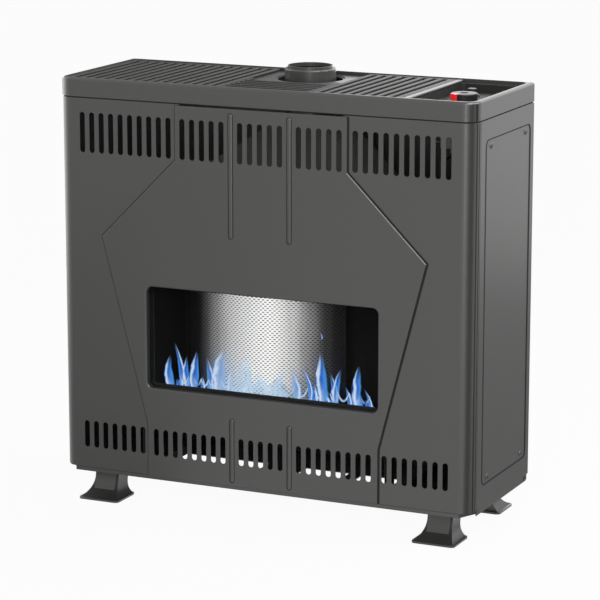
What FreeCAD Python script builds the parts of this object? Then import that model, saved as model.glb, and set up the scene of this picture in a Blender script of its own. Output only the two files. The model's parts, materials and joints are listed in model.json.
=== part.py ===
import FreeCAD, Part
import math
import os
from types import SimpleNamespace

import Sketcher

# A flued gas room heater: sheet casing on four feet, window with burner behind, controls in the top.
# Frame: +Z up, the front faces -Y, origin on the floor under the middle of the casing. Millimetres.

doc = FreeCAD.newDocument("GasHeater")
sheet = doc.addObject("Spreadsheet::Sheet", "Sizes")

# Driving dimensions: alias, value and what it measures
SIZES = (
    ("case_width", 690, "casing over the two side panels"),
    ("case_depth", 246, "front wing face to back panel face"),
    ("base_rise", 46, "floor to the underside of the base frame"),
    ("case_rise", 7, "base underside to the lower edge of the casing"),
    ("seam_rise", 595, "base underside to the seam under the cap"),
    ("cap_height", 31, "seam to the top of the cap's rim"),
    ("skin", 1.2, "sheet of the casing"),
    ("fit_gap", 0.3, "clearance between neighbouring pieces"),
    ("corner_radius", 22, "roll of the front corners"),
    ("wing_return", 0.5, "flat of the front wing past the roll"),
    ("wing_joint", 0.9, "gap between front wing and side panel"),
    ("panel_top_half", 143, "half width of the centre panel at the top"),
    ("panel_mid_margin", 76.5, "widest point of the centre panel past the window"),
    ("panel_low_margin", 0.5, "foot of the centre panel past the window"),
    ("panel_top_bend", 509.5, "upper bend of the panel edge above the base"),
    ("panel_mid_bend", 382, "widest point of the panel edge above the base"),
    ("panel_low_bend", 91.5, "lower bend of the panel edge above the base"),
    ("panel_proud", 2.7, "centre panel's face in front of the wings"),
    ("panel_edge", 1.8, "rounding of the centre panel's edge"),
    ("panel_lap", 7, "wing hidden behind the centre panel"),
    ("panel_top_gap", 1.6, "centre panel's top edge below the seam"),
    ("slot_pitch", 16.5, "air slot to air slot"),
    ("slot_width", 8.8, "width of an air slot"),
    ("slot_rib_gap", 31.2, "slot to slot across a pressed rib"),
    ("slot_edge_gap", 25, "slot to slot across the panel edge"),
    ("upper_slot_low", 510.4, "lower end of the upper slots above the base"),
    ("upper_slot_high", 573.4, "upper end of the upper slots above the base"),
    ("lower_slot_low", 40, "lower end of the lower slots above the base"),
    ("lower_slot_high", 83, "upper end of the lower slots above the base"),
    ("middle_slots", 5, "slots in a middle group"),
    ("wing_slot_end", 12, "last wing slot from the roll of the corner"),
    ("rib_offset", 48.7, "pressed rib from the middle"),
    ("rib_width", 9, "width of a pressed rib"),
    ("rib_depth", 1.5, "depth of a pressed rib"),
    ("upper_rib_low", 393.5, "lower end of the upper ribs above the base"),
    ("upper_rib_high", 587.5, "upper end of the upper ribs above the base"),
    ("lower_rib_low", 10.5, "lower end of the lower ribs above the base"),
    ("lower_rib_high", 113.3, "upper end of the lower ribs above the base"),
    ("window_margin", 150.5, "window from the side of the casing"),
    ("window_low", 148, "lower edge of the window above the base"),
    ("window_high", 309, "upper edge of the window above the base"),
    ("window_radius", 10, "corner of the window"),
    ("window_flange", 6, "window flange behind the wing face"),
    ("window_roll", 2.4, "rounding of the window's edge"),
    ("gasket_thick", 3, "rope gasket, pressed"),
    ("gasket_wide", 9, "width of the glass gasket"),
    ("glass_thick", 4, "ceramic glass"),
    ("glass_lap", 10, "glass past the window's edge"),
    ("clip_wide", 16, "width of a glass clip"),
    ("clip_offset", 100, "glass clip from the middle"),
    ("clip_grip", 8, "glass clip's hold on the glass"),
    ("clip_foot", 14, "glass clip's foot on the panel"),
    ("seal_inset", 4, "firebox seal inside the window's edge"),
    ("seal_outset", 1, "firebox seal outside the window's edge"),
    ("cover_front", 46, "side cover's front edge behind the wing face"),
    ("cover_rear", 229, "side cover's rear edge behind the wing face"),
    ("cover_low", 42, "side cover's lower edge above the base"),
    ("cover_high", 563.5, "side cover's upper edge above the base"),
    ("cover_radius", 9, "corner of the side cover"),
    ("cover_thick", 0.8, "sheet of the side cover"),
    ("cover_joint", 1.2, "gap round the side cover"),
    ("ledge_wide", 16, "ledge that carries the side cover"),
    ("ledge_lap", 8, "ledge behind the side panel"),
    ("cover_screw_y", 19, "cover screw from the cover's upright edge"),
    ("cover_screw_z", 9, "cover screw from the cover's upper or lower edge"),
    ("notch_deep", 9, "rear foot of the side panel cut away, along the depth"),
    ("notch_high", 10, "rear foot of the side panel cut away, in height"),
    ("relief_wide", 3, "relief hole at the foot of the side panel"),
    ("relief_high", 7, "height of a relief hole"),
    ("relief_rise", 3, "relief hole above the base underside"),
    ("relief_inset", 4, "relief hole from the side panel's edge"),
    ("flange_wide", 15, "folded flange of a side panel"),
    ("screw_head_radius", 4.6, "head of a casing screw"),
    ("screw_head_high", 2, "height of that head"),
    ("screw_radius", 1.9, "shank of a casing screw"),
    ("screw_long", 9, "shank under the head"),
    ("vent_pitch", 24, "back vent to back vent"),
    ("vent_wide", 10, "width of a back vent"),
    ("vent_high", 70, "height of a back vent"),
    ("vent_margin", 95, "back vents from the side of the casing"),
    ("vent_low", 150, "lower row of back vents above the base"),
    ("vent_upper", 330, "upper row of back vents above the base"),
    ("back_screw_inset", 8, "back screw from the panel's edge"),
    ("rim_wide", 7, "width of the cap's rim"),
    ("rim_depth", 7, "rim above the deck"),
    ("rim_radius", 14, "corner of the recess in the cap"),
    ("rim_roll", 4.5, "rounding of the cap's top edge"),
    ("cap_chamfer", 2, "shadow groove over the seam"),
    ("cap_wall", 4, "wall of the cap's skirt"),
    ("deck_thick", 1.5, "sheet of the deck"),
    ("deck_lip", 7, "deck left under the edge of an insert"),
    ("slat_pitch", 16.7, "top slat to top slat"),
    ("slat_wide", 8, "width of a top slat"),
    ("slat_high", 5.5, "height of the top grilles"),
    ("slat_end", 10, "solid end of the slats"),
    ("left_land", 0.5, "least that the left grille's end bar is wider than a slat"),
    ("flue_half", 77, "half width of the bay for the flue"),
    ("flue_margin", 64, "flue axis in front of the back panel"),
    ("flue_hole_radius", 54, "hole in the flue plate"),
    ("flue_bay_reach", 57, "front of the flue plate from the flue axis"),
    ("collar_radius", 40, "flue spigot, outside"),
    ("collar_wall", 2, "wall of the flue collar"),
    ("collar_above", 11, "shoulder of the collar above the rim"),
    ("collar_neck", 5, "turned-in height of the neck"),
    ("collar_neck_high", 4, "height of the neck above the shoulder"),
    ("collar_flange", 46, "radius of the collar's foot flange"),
    ("tray_left_margin", 112, "control well, left edge from the side panel"),
    ("tray_right_margin", 20, "control well, right edge from the side panel"),
    ("tray_front_margin", 18, "control well from the front of the recess"),
    ("tray_rear_margin", 11, "control well from the rear of the recess"),
    ("tray_radius", 8, "corner of the control well"),
    ("tray_depth", 11.5, "control well below the deck"),
    ("knob_margin", 62, "knob axis from the side panel"),
    ("knob_y", -11, "knob axis along the depth"),
    ("knob_radius", 20, "control knob"),
    ("knob_high", 11, "height of the knob"),
    ("knob_lift", 4.5, "knob above the floor of the well"),
    ("knob_roll", 1.5, "rounding of the knob's top edge"),
    ("knob_dimple_radius", 6.5, "dimple in the top of the knob"),
    ("knob_dimple_deep", 2, "depth of the dimple"),
    ("knob_hollow_radius", 13, "hollow under the knob"),
    ("knob_hollow_deep", 6, "depth of that hollow"),
    ("pointer_angle", -120, "pointer from +X, seen from above"),
    ("pointer_wide", 12.5, "width of the red pointer"),
    ("pointer_in", 14, "inner end of the pointer from the knob's axis"),
    ("pointer_out", 22, "outer end of the pointer from the knob's axis"),
    ("pointer_foot", 1.5, "pointer above the underside of the knob"),
    ("spindle_radius", 4, "valve spindle"),
    ("spindle_gap", 0.06, "running clearance of the spindle"),
    ("spindle_in_knob", 8, "spindle's reach into the knob"),
    ("washer_radius", 10.5, "thrust washer"),
    ("washer_thick", 1.2, "thickness of the thrust washer"),
    ("neck_radius", 11, "valve neck"),
    ("neck_bore", 7.4, "bore of the neck for the spring"),
    ("neck_above", 3, "valve neck above the floor of the well"),
    ("neck_bore_deep", 15, "depth of the neck's bore"),
    ("knob_spring_radius", 6.6, "return spring of the knob"),
    ("knob_spring_wire", 1.2, "wire of that spring"),
    ("valve_wide", 56, "gas valve across the heater"),
    ("valve_deep", 48, "gas valve along the depth"),
    ("valve_high", 47, "gas valve body"),
    ("valve_drop", 18, "top of the valve body below the well's floor sheet"),
    ("spindle_deep", 25, "spindle's reach into the valve body"),
    ("bracket_thick", 1.5, "sheet of brackets and firebox"),
    ("bracket_reach", 16, "valve bracket past the valve"),
    ("button_margin", 77, "igniter axis from the side panel"),
    ("button_reach", 71, "igniter axis behind the knob"),
    ("button_radius", 7, "igniter button"),
    ("button_gap", 0.08, "running clearance of the button"),
    ("button_above", 8.5, "button above its collar"),
    ("button_long", 39, "length of the button"),
    ("button_roll", 1.2, "rounding of the button's top"),
    ("igniter_neck", 9, "igniter's collar through the tray"),
    ("igniter_neck_above", 4, "that collar above the well's floor"),
    ("igniter_radius", 12, "igniter housing"),
    ("igniter_long", 45, "igniter housing below the tray"),
    ("button_spring_high", 10, "return spring of the button"),
    ("button_spring_radius", 6, "outside of that spring"),
    ("button_spring_wire", 0.9, "wire of that spring"),
    ("nut_radius", 12.5, "igniter nut over its corners"),
    ("nut_high", 3, "height of the igniter nut"),
    ("frame_high", 20, "upstand of the base frame"),
    ("frame_sheet", 1.5, "sheet of the base frame"),
    ("frame_cut_wide", 18, "front corner of the base frame cut off, across"),
    ("frame_cut_deep", 39, "front corner of the base frame cut off, along the depth"),
    ("frame_open_edge", 23, "air inlets in the base from the front"),
    ("air_rear_edge", 89, "air inlets from the back panel"),
    ("air_left_margin", 133, "left air inlet from the side panel"),
    ("air_left_end", 60, "left air inlet's inner edge from the middle"),
    ("air_middle_start", 5, "middle air inlet's left edge from the middle"),
    ("air_middle_end", 80, "middle air inlet's right edge from the middle"),
    ("air_right_start", 102, "right air inlet's inner edge from the middle"),
    ("air_right_margin", 177, "right air inlet from the side panel"),
    ("foot_wide", 70, "foot across the heater"),
    ("foot_deep", 62, "foot along the depth"),
    ("foot_inset", 25, "outer edge of the foot inside the casing"),
    ("foot_proud", 4, "foot in front of the casing"),
    ("foot_flange", 3, "thickness of the foot's flange"),
    ("foot_corner", 7, "corner of the foot's flange"),
    ("foot_draw", 3, "foot's block inside its flange"),
    ("foot_top_wide", 44, "top of the foot across the heater"),
    ("foot_top_back", 34, "top of the foot behind its front edge"),
    ("foot_top_deep", 42, "top of the foot along the depth"),
    ("foot_waist_rise", 16, "waist of the foot above the floor"),
    ("foot_waist_wide", 46, "waist of the foot across the heater"),
    ("foot_waist_back", 24, "waist of the foot behind its front edge"),
    ("foot_hole_back", 46, "screw hole of the foot behind its front edge"),
    ("strap_wide", 36, "raised strap on the foot"),
    ("strap_start", 12, "strap's toe behind the foot's front edge"),
    ("strap_lean", 18, "strap's shelf behind its toe"),
    ("strap_drop", 5, "strap's shelf below the base frame"),
    ("foot_screw_radius", 3, "foot screw"),
    ("foot_screw_gap", 0.2, "clearance round the foot screw"),
    ("foot_screw_head", 5.5, "head of the foot screw"),
    ("foot_screw_seat", 28, "seat of that head above the floor"),
    ("foot_screw_head_high", 4, "height of that head"),
    ("foot_screw_tip", 6, "foot screw above the base frame's sheet"),
    ("firebox_margin", 17.5, "firebox past the window"),
    ("firebox_low", 100, "firebox floor above the base"),
    ("firebox_high", 460, "firebox roof above the base"),
    ("firebox_back_gap", 83, "firebox back wall in front of the back panel"),
    ("burner_slot_margin", 1.5, "burner slot in the firebox floor past the window"),
    ("burner_slot_reach", 46, "rear edge of that slot from the burner axis"),
    ("hood_margin", 32, "flue hood inside the firebox's sides"),
    ("hood_reach", 100, "front of the flue hood from the firebox's back"),
    ("hood_high", 90, "height of the flue hood"),
    ("hood_top_half", 48, "half size of the flue hood at the collar"),
    ("hood_flange", 8, "hood's wall inside the firebox outlet"),
    ("screen_radius", 200, "bend of the radiant screen"),
    ("screen_half", 134, "half width of the radiant screen"),
    ("screen_shift", 30, "middle of the radiant screen left of the casing's middle"),
    ("screen_front", 34, "radiant screen behind the wing face"),
    ("screen_drop", 10, "screen's lower edge below the window"),
    ("screen_over", 24, "screen's upper edge above the window"),
    ("screen_thick", 1, "sheet of the radiant screen"),
    ("stay_wide", 8, "stay of the radiant screen"),
    ("stay_high", 14, "height of a screen stay"),
    ("burner_radius", 15, "burner tube"),
    ("burner_wall", 1.5, "wall of the burner tube"),
    ("burner_y", 37, "burner axis behind the wing face"),
    ("burner_drop", 12, "top of the burner below the window"),
    ("burner_left_gap", 20, "burner's closed end from the firebox wall"),
    ("burner_right_gap", 1, "burner's open end inside the firebox's outer face"),
    ("port_radius", 1.4, "burner port"),
    ("port_pitch", 15, "burner port to burner port"),
    ("port_margin", 8, "burner ports from the tube's ends"),
    ("saddle_margin", 62, "burner saddle from the firebox wall"),
    ("holder_size", 20, "injector holder"),
    ("holder_gap", 20, "injector holder's middle outside the firebox"),
    ("injector_radius", 5, "injector"),
    ("injector_long", 7, "injector in front of its holder"),
    ("injector_bore", 0.6, "injector orifice"),
    ("pilot_margin", 16, "pilot from the firebox wall"),
    ("pilot_reach", 26, "pilot behind the burner axis"),
    ("pilot_radius", 5, "pilot burner"),
    ("pilot_pitch", 11, "pilot to thermocouple and electrode"),
    ("pilot_bracket_rise", 10, "pilot bracket above the firebox floor"),
    ("pilot_high", 26, "height of the pilot burner"),
    ("probe_radius", 2.5, "thermocouple probe"),
    ("probe_high", 30, "height of the probe"),
    ("electrode_radius", 3, "ceramic of the spark electrode"),
    ("electrode_high", 24, "height of the ceramic above its bracket"),
    ("electrode_tip", 1, "radius of the electrode's wire"),
    ("electrode_tip_high", 8, "wire above the ceramic"),
    ("inlet_rise", 60, "gas inlet above the base"),
    ("inlet_block", 24, "inlet elbow block"),
    ("inlet_thread", 10.48, "radius of the half-inch gas thread"),
    ("inlet_thread_long", 14, "length of that thread"),
    ("inlet_bore", 6, "bore of the inlet"),
    ("inlet_proud", 2.5, "end of the thread behind the back panel"),
    ("inlet_hole", 22, "hole for the inlet in the back panel"),
    ("supply_radius", 6, "supply pipe"),
    ("supply_bend", 25, "bend of the supply pipe"),
    ("burner_pipe_radius", 4, "burner pipe"),
    ("burner_pipe_bend", 12, "bend of the burner pipe"),
    ("burner_pipe_gap", 22, "burner pipe beside the firebox"),
    ("pilot_tube_radius", 2, "pilot tube"),
    ("lead_radius", 1.5, "thermocouple lead"),
    ("lead_bend", 7, "bend of the small lines"),
    ("lead_pitch", 8, "small line to small line"),
    ("spark_lead_radius", 2.5, "ignition lead"),
    ("support_inset", 7, "firebox support inside the firebox wall"),
    ("shield_gap", 30, "heat shield behind the firebox"),
    ("shield_margin", 16, "heat shield past the firebox"),
    ("shield_low", 104, "heat shield's lower edge above the base"),
    ("shield_high", 450, "heat shield's upper edge above the base"),
    ("spacer_radius", 6, "heat shield spacer"),
    ("spacer_inset", 40, "spacer from the firebox's edges"),
)


class Dim:
    """A size as a number together with the expression that ties it to the sheet."""

    def __init__(self, value, text):
        self.value = value
        self.text = text

    def __add__(self, other):
        return Dim(self.value + number(other), f"({self.text} + {words(other)})")

    def __radd__(self, other):
        return Dim(number(other) + self.value, f"({words(other)} + {self.text})")

    def __sub__(self, other):
        return Dim(self.value - number(other), f"({self.text} - {words(other)})")

    def __rsub__(self, other):
        return Dim(number(other) - self.value, f"({words(other)} - {self.text})")

    def __mul__(self, other):
        return Dim(self.value * number(other), f"({self.text} * {words(other)})")

    __rmul__ = __mul__

    def __truediv__(self, other):
        return Dim(self.value / number(other), f"({self.text} / {words(other)})")

    def __neg__(self):
        return Dim(-self.value, f"(0 - {self.text})")


def number(size):
    return size.value if isinstance(size, Dim) else float(size)


def words(size):
    return size.text if isinstance(size, Dim) else f"{float(size):.9f}"


def whole(size):
    """The number of whole steps in a size."""
    return Dim(float(math.floor(size.value)), f"floor({size.text})")


def read_sizes():
    """Fill the sheet and hand its cells back as named sizes."""
    for row, (alias, value, note) in enumerate(SIZES, start=1):
        sheet.set(f"A{row}", alias)
        sheet.set(f"B{row}", str(value))
        sheet.setAlias(f"B{row}", alias)
        sheet.set(f"C{row}", note)
    doc.recompute()
    return SimpleNamespace(**{alias: Dim(float(sheet.get(alias)), f"Sizes.{alias}") for alias, _, _ in SIZES})


s = read_sizes()

# Planes and heights that many pieces share
half_w = s.case_width / 2
front = -s.case_depth / 2
back = s.case_depth / 2
base_z = s.base_rise
case_z = base_z + s.case_rise
seam_z = base_z + s.seam_rise
cap_z = seam_z + s.cap_height
deck_z = cap_z - s.rim_depth
inside_w = half_w - s.skin
window_half = half_w - s.window_margin
panel_mid_half = window_half + s.panel_mid_margin
panel_low_half = window_half + s.panel_low_margin
flue_y = back - s.flue_margin
flue_bay_front = flue_y - s.flue_bay_reach
tray_left = half_w - s.tray_left_margin
tray_right = half_w - s.tray_right_margin
knob_x = half_w - s.knob_margin
button_x = half_w - s.button_margin
button_y = s.knob_y + s.button_reach
inlet_x = knob_x
open_half_d = back - s.frame_open_edge
firebox_half = window_half + s.firebox_margin
firebox_back = back - s.firebox_back_gap
hood_half = firebox_half - s.hood_margin
hood_front = firebox_back - s.hood_reach
burner_left = firebox_half - s.burner_left_gap
burner_right = firebox_half - s.burner_right_gap
pilot_x = firebox_half - s.pilot_margin
holder_x = firebox_half + s.holder_gap
shield_half = firebox_half + s.shield_margin
well_z = deck_z - s.tray_depth
window_lo = base_z + s.window_low
window_hi = base_z + s.window_high
panel_face = front - s.panel_proud
gasket_y = front + s.window_flange
glass_y = gasket_y + s.gasket_thick
seal_y = glass_y + s.glass_thick
firebox_y = seal_y + s.gasket_thick
firebox_lo = base_z + s.firebox_low
firebox_hi = base_z + s.firebox_high
frame_half_w = inside_w - s.fit_gap
frame_half_d = back - s.skin - s.fit_gap
recess_half_w = half_w - s.rim_wide
recess_half_d = back - s.rim_wide
tray_front = -recess_half_d + s.tray_front_margin
tray_rear = recess_half_d - s.tray_rear_margin
roll_x = half_w - s.corner_radius
roll_y = front + s.corner_radius
wing_end = roll_y + s.wing_return
side_front = wing_end + s.wing_joint
hood_top = firebox_hi + s.hood_high

# First slots of the rows, counted outward from the middle
inner_slot = (s.middle_slots - 1) * s.slot_pitch / 2 + s.slot_rib_gap
upper_wing_slot = inner_slot + (s.middle_slots - 1) * s.slot_pitch + s.slot_edge_gap
lower_inner_slots = whole((panel_low_half - s.slot_edge_gap / 2 - inner_slot) / s.slot_pitch) + 1
lower_wing_slot = inner_slot + (lower_inner_slots - 1) * s.slot_pitch + s.slot_edge_gap
upper_wing_slots = whole((roll_x - s.wing_slot_end - upper_wing_slot) / s.slot_pitch) + 1
lower_wing_slots = whole((roll_x - s.wing_slot_end - lower_wing_slot) / s.slot_pitch) + 1

# Side cover and the screws of the casing
cover_y0 = front + s.cover_front
cover_y1 = front + s.cover_rear
cover_z0 = base_z + s.cover_low
cover_z1 = base_z + s.cover_high
cover_screws = [
    (y, z)
    for y in (cover_y0 + s.cover_screw_y, cover_y1 - s.cover_screw_y)
    for z in (cover_z0 + s.cover_screw_z, cover_z1 - s.cover_screw_z)
]
back_low = base_z + s.notch_high
back_screw_heights = [back_low + s.vent_pitch, (back_low + seam_z) / 2, seam_z - s.vent_pitch]

# Feet and their screws
foot_x = half_w - s.foot_inset - s.foot_wide / 2
foot_y = back + s.foot_proud - s.foot_deep / 2
foot_hole = s.foot_hole_back - s.foot_deep / 2
foot_places = [(x, y) for x in (-foot_x, foot_x) for y in (-foot_y + foot_hole, foot_y - foot_hole)]

# Burner, controls and gas train
burner_axis_y = front + s.burner_y
burner_axis_z = window_lo - s.burner_drop - s.burner_radius
burner_slot_back = burner_axis_y + s.burner_slot_reach
pilot_y = burner_axis_y + s.pilot_reach
pilot_right = firebox_half - s.bracket_thick - s.fit_gap
pilot_shelf = firebox_lo + s.pilot_bracket_rise
pilot_places = {
    "pilot": (pilot_x, pilot_y),
    "probe": (pilot_x, pilot_y + s.pilot_pitch),
    "electrode": (pilot_x - s.pilot_pitch, pilot_y),
}
valve_top = well_z - s.skin - s.valve_drop
valve_low = valve_top - s.valve_high
neck_top = well_z + s.neck_above
knob_low = well_z + s.knob_lift
bore_floor = neck_top - s.neck_bore_deep
spindle_low = valve_top - s.spindle_deep
igniter_top = well_z + s.igniter_neck_above
button_top = igniter_top + s.button_above
button_low = button_top - s.button_long
igniter_low = well_z - s.skin - s.igniter_long
inlet_z = base_z + s.inlet_rise
inlet_end = back + s.inlet_proud
inlet_y = inlet_end - s.inlet_thread_long - s.inlet_block / 2
left_face = knob_x - s.valve_wide / 2
column = firebox_half + s.burner_pipe_gap
under_box = firebox_lo - s.lead_pitch
shield_y = firebox_back + s.shield_gap

pieces = []


def piece(label, feature):
    """Name a finished sub-part; the label names its file."""
    feature.Label = label
    pieces.append(feature)
    return feature


def bind(feature, name, size):
    feature.setExpression(name, words(size))


def place(feature, x, y, z):
    bind(feature, "Placement.Base.x", x)
    bind(feature, "Placement.Base.y", y)
    bind(feature, "Placement.Base.z", z)
    return feature


def turn_z(feature, angle):
    feature.Placement = FreeCAD.Placement(FreeCAD.Vector(), FreeCAD.Rotation(FreeCAD.Vector(0, 0, 1), 1))
    bind(feature, "Placement.Rotation.Angle", angle)


# Sketches, pads and pockets
def new_body(name):
    return doc.addObject("PartDesign::Body", name)


def origin_feature(body, role):
    return next(item for item in body.Origin.OriginFeatures if item.Role == role)


def sketch_on(body, role, offset):
    """A sketch on an origin plane of its body, moved along the plane's normal."""
    sketch = body.newObject("Sketcher::SketchObject", "Sketch")
    sketch.AttachmentSupport = (origin_feature(body, role), [""])
    sketch.MapMode = "FlatFace"
    bind(sketch, "AttachmentOffset.Base.z", offset)
    return sketch


def across(body, y):
    """A sketch in X and Z at depth y; its normal points to the front."""
    return sketch_on(body, "XZ_Plane", -y)


def alongside(body, x):
    """A sketch in Y and Z at x; its normal points to the right."""
    return sketch_on(body, "YZ_Plane", x)


def level(body, z):
    """A sketch in X and Y at height z; its normal points up."""
    return sketch_on(body, "XY_Plane", z)


def outline(sketch, points):
    """Close a loop through points; (x, y, cx, cy, turn) is reached by an arc, turn +1 anticlockwise."""
    first = sketch.GeometryCount
    shapes = []
    ends = []
    centres = []
    for index, start in enumerate(points):
        stop = points[(index + 1) % len(points)]
        begin = FreeCAD.Vector(number(start[0]), number(start[1]), 0)
        finish = FreeCAD.Vector(number(stop[0]), number(stop[1]), 0)
        if len(stop) == 2:
            shapes.append(Part.LineSegment(begin, finish))
            ends.append((1, 2))
            continue
        middle = FreeCAD.Vector(number(stop[2]), number(stop[3]), 0)
        circle = Part.Circle(middle, FreeCAD.Vector(0, 0, 1), begin.distanceToPoint(middle))
        from_angle = math.atan2(begin.y - middle.y, begin.x - middle.x)
        to_angle = math.atan2(finish.y - middle.y, finish.x - middle.x)
        if stop[4] > 0:
            shapes.append(Part.ArcOfCircle(circle, from_angle, to_angle))
            ends.append((1, 2))
        else:
            shapes.append(Part.ArcOfCircle(circle, to_angle, from_angle))
            ends.append((2, 1))
        wide = abs(finish.x - begin.x) > abs(finish.y - begin.y)
        centres.append((first + index, "DistanceY" if wide else "DistanceX", stop[3] if wide else stop[2]))
    sketch.addGeometry(shapes, False)
    rules = []
    ties = []
    for index, point in enumerate(points):
        after = (index + 1) % len(points)
        pair = (first + index, ends[index][1], first + after, ends[after][0])
        rules.append(Sketcher.Constraint("Coincident", *pair))
        ties.append(None)
        for axis, size in zip(("DistanceX", "DistanceY"), point[:2]):
            rules.append(Sketcher.Constraint(axis, -1, 1, first + index, ends[index][0], number(size)))
            ties.append(size)
    for geometry, axis, size in centres:
        rules.append(Sketcher.Constraint(axis, -1, 1, geometry, 3, number(size)))
        ties.append(size)
    offset = sketch.ConstraintCount
    sketch.addConstraint(rules)
    for index, size in enumerate(ties):
        if isinstance(size, Dim):
            sketch.setExpression(f"Constraints[{offset + index}]", size.text)
    return sketch


def rectangle(sketch, x0, y0, x1, y1):
    return outline(sketch, [(x0, y0), (x1, y0), (x1, y1), (x0, y1)])


def round_rectangle(sketch, x0, y0, x1, y1, r):
    return outline(sketch, [
        (x0 + r, y0, x0 + r, y0 + r, 1), (x1 - r, y0), (x1, y0 + r, x1 - r, y0 + r, 1),
        (x1, y1 - r), (x1 - r, y1, x1 - r, y1 - r, 1), (x0 + r, y1),
        (x0, y1 - r, x0 + r, y1 - r, 1), (x0, y0 + r),
    ])


def upright_slot(sketch, x, low, high, width):
    r = width / 2
    return outline(sketch, [
        (x + r, low + r, x, low + r, 1), (x + r, high - r),
        (x - r, high - r, x, high - r, 1), (x - r, low + r),
    ])


def circle(sketch, x, y, r):
    index = sketch.GeometryCount
    middle = FreeCAD.Vector(number(x), number(y), 0)
    sketch.addGeometry(Part.Circle(middle, FreeCAD.Vector(0, 0, 1), number(r)), False)
    rules = (("DistanceX", x), ("DistanceY", y))
    for axis, size in rules:
        rule = sketch.addConstraint(Sketcher.Constraint(axis, -1, 1, index, 3, number(size)))
        if isinstance(size, Dim):
            sketch.setExpression(f"Constraints[{rule}]", size.text)
    rule = sketch.addConstraint(Sketcher.Constraint("Radius", index, number(r)))
    sketch.setExpression(f"Constraints[{rule}]", words(r))
    return sketch


def pad(body, sketch, length, reverse=False, both=False):
    feature = body.newObject("PartDesign::Pad", "Pad")
    feature.Profile = sketch
    bind(feature, "Length", length)
    feature.Reversed = reverse
    feature.SideType = "Symmetric" if both else "One side"
    return feature


def pocket(body, sketch, length, reverse=False):
    """Cut along the sketch's normal reversed, or along it."""
    feature = body.newObject("PartDesign::Pocket", "Pocket")
    feature.Profile = sketch
    bind(feature, "Length", length)
    feature.Reversed = reverse
    return feature


def row(body, feature, role, length, count):
    """Repeat a feature along an origin axis of its body."""
    pattern = body.newObject("PartDesign::LinearPattern", "Row")
    pattern.Originals = [feature]
    pattern.Direction = (origin_feature(body, role), [""])
    bind(pattern, "Length", length)
    bind(pattern, "Occurrences", count)
    body.Tip = pattern
    return pattern


def soften(body, kind, size, wanted):
    """Fillet or chamfer the edges of the body so far whose points all pass the test."""
    doc.recompute()
    base = body.Tip
    names = []
    for index, edge in enumerate(base.Shape.Edges, start=1):
        samples = [edge.valueAt(edge.FirstParameter), edge.valueAt(edge.LastParameter)]
        if all(wanted(point) for point in samples):
            names.append(f"Edge{index}")
    feature = body.newObject(f"PartDesign::{kind}", kind)
    feature.Base = (base, names)
    bind(feature, "Radius" if kind == "Fillet" else "Size", size)
    return feature


def near(value, size):
    return abs(value - number(size)) < 1e-4


# Solids from primitives
def box(x0, y0, z0, x1, y1, z1):
    feature = doc.addObject("Part::Box", "Box")
    bind(feature, "Length", x1 - x0)
    bind(feature, "Width", y1 - y0)
    bind(feature, "Height", z1 - z0)
    return place(feature, x0, y0, z0)


TURNS = {
    "x": FreeCAD.Rotation(FreeCAD.Vector(0, 1, 0), 90),
    "y": FreeCAD.Rotation(FreeCAD.Vector(1, 0, 0), -90),
    "z": FreeCAD.Rotation(),
}


def rod(axis, x, y, z, radius, length):
    """A cylinder that starts at a point and runs along +axis."""
    feature = doc.addObject("Part::Cylinder", "Rod")
    feature.Placement = FreeCAD.Placement(FreeCAD.Vector(), TURNS[axis])
    bind(feature, "Radius", radius)
    bind(feature, "Height", length)
    return place(feature, x, y, z)


def fuse(*shapes):
    if len(shapes) == 1:
        return shapes[0]
    feature = doc.addObject("Part::MultiFuse", "Fuse")
    feature.Shapes = list(shapes)
    feature.Refine = True
    return feature


def cut(base, *tools):
    feature = doc.addObject("Part::Cut", "Cut")
    feature.Base = base
    feature.Tool = fuse(*tools)
    feature.Refine = True
    return feature


def group(*solids):
    feature = doc.addObject("Part::Compound", "Group")
    feature.Links = list(solids)
    return feature


def mirrored(source):
    """The same piece on the other side of the heater."""
    feature = doc.addObject("Part::Mirroring", "Mirror")
    feature.Source = source
    feature.Base = FreeCAD.Vector(0, 0, 0)
    feature.Normal = FreeCAD.Vector(1, 0, 0)
    return feature


def line(points, radius, bend):
    """A round pipe or lead: straight runs joined by tangent arcs."""
    corners = [FreeCAD.Vector(*(number(size) for size in point)) for point in points]
    edges = []
    start = corners[0]
    for before, corner, after in zip(corners, corners[1:], corners[2:]):
        inward = (before - corner).normalize()
        outward = (after - corner).normalize()
        half_turn = (math.pi - inward.getAngle(outward)) / 2
        trim = number(bend) * math.tan(half_turn)
        arc_start = corner + inward * trim
        arc_stop = corner + outward * trim
        bisector = (inward + outward).normalize()
        middle = corner + bisector * (number(bend) / math.cos(half_turn) - number(bend))
        edges.append(Part.LineSegment(start, arc_start).toShape())
        edges.append(Part.Arc(arc_start, middle, arc_stop).toShape())
        start = arc_stop
    edges.append(Part.LineSegment(start, corners[-1]).toShape())
    path = Part.Wire(edges)
    heading = (corners[1] - corners[0]).normalize()
    section = Part.Wire([Part.makeCircle(number(radius), corners[0], heading)])
    feature = doc.addObject("Part::Feature", "Line")
    feature.Shape = path.makePipeShell([section], True, False)
    wanted = math.pi * number(radius) ** 2 * path.Length
    if abs(feature.Shape.Volume - wanted) > 0.01 * wanted:
        raise RuntimeError("a pipe's volume is not its section times its length")
    return feature


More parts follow.
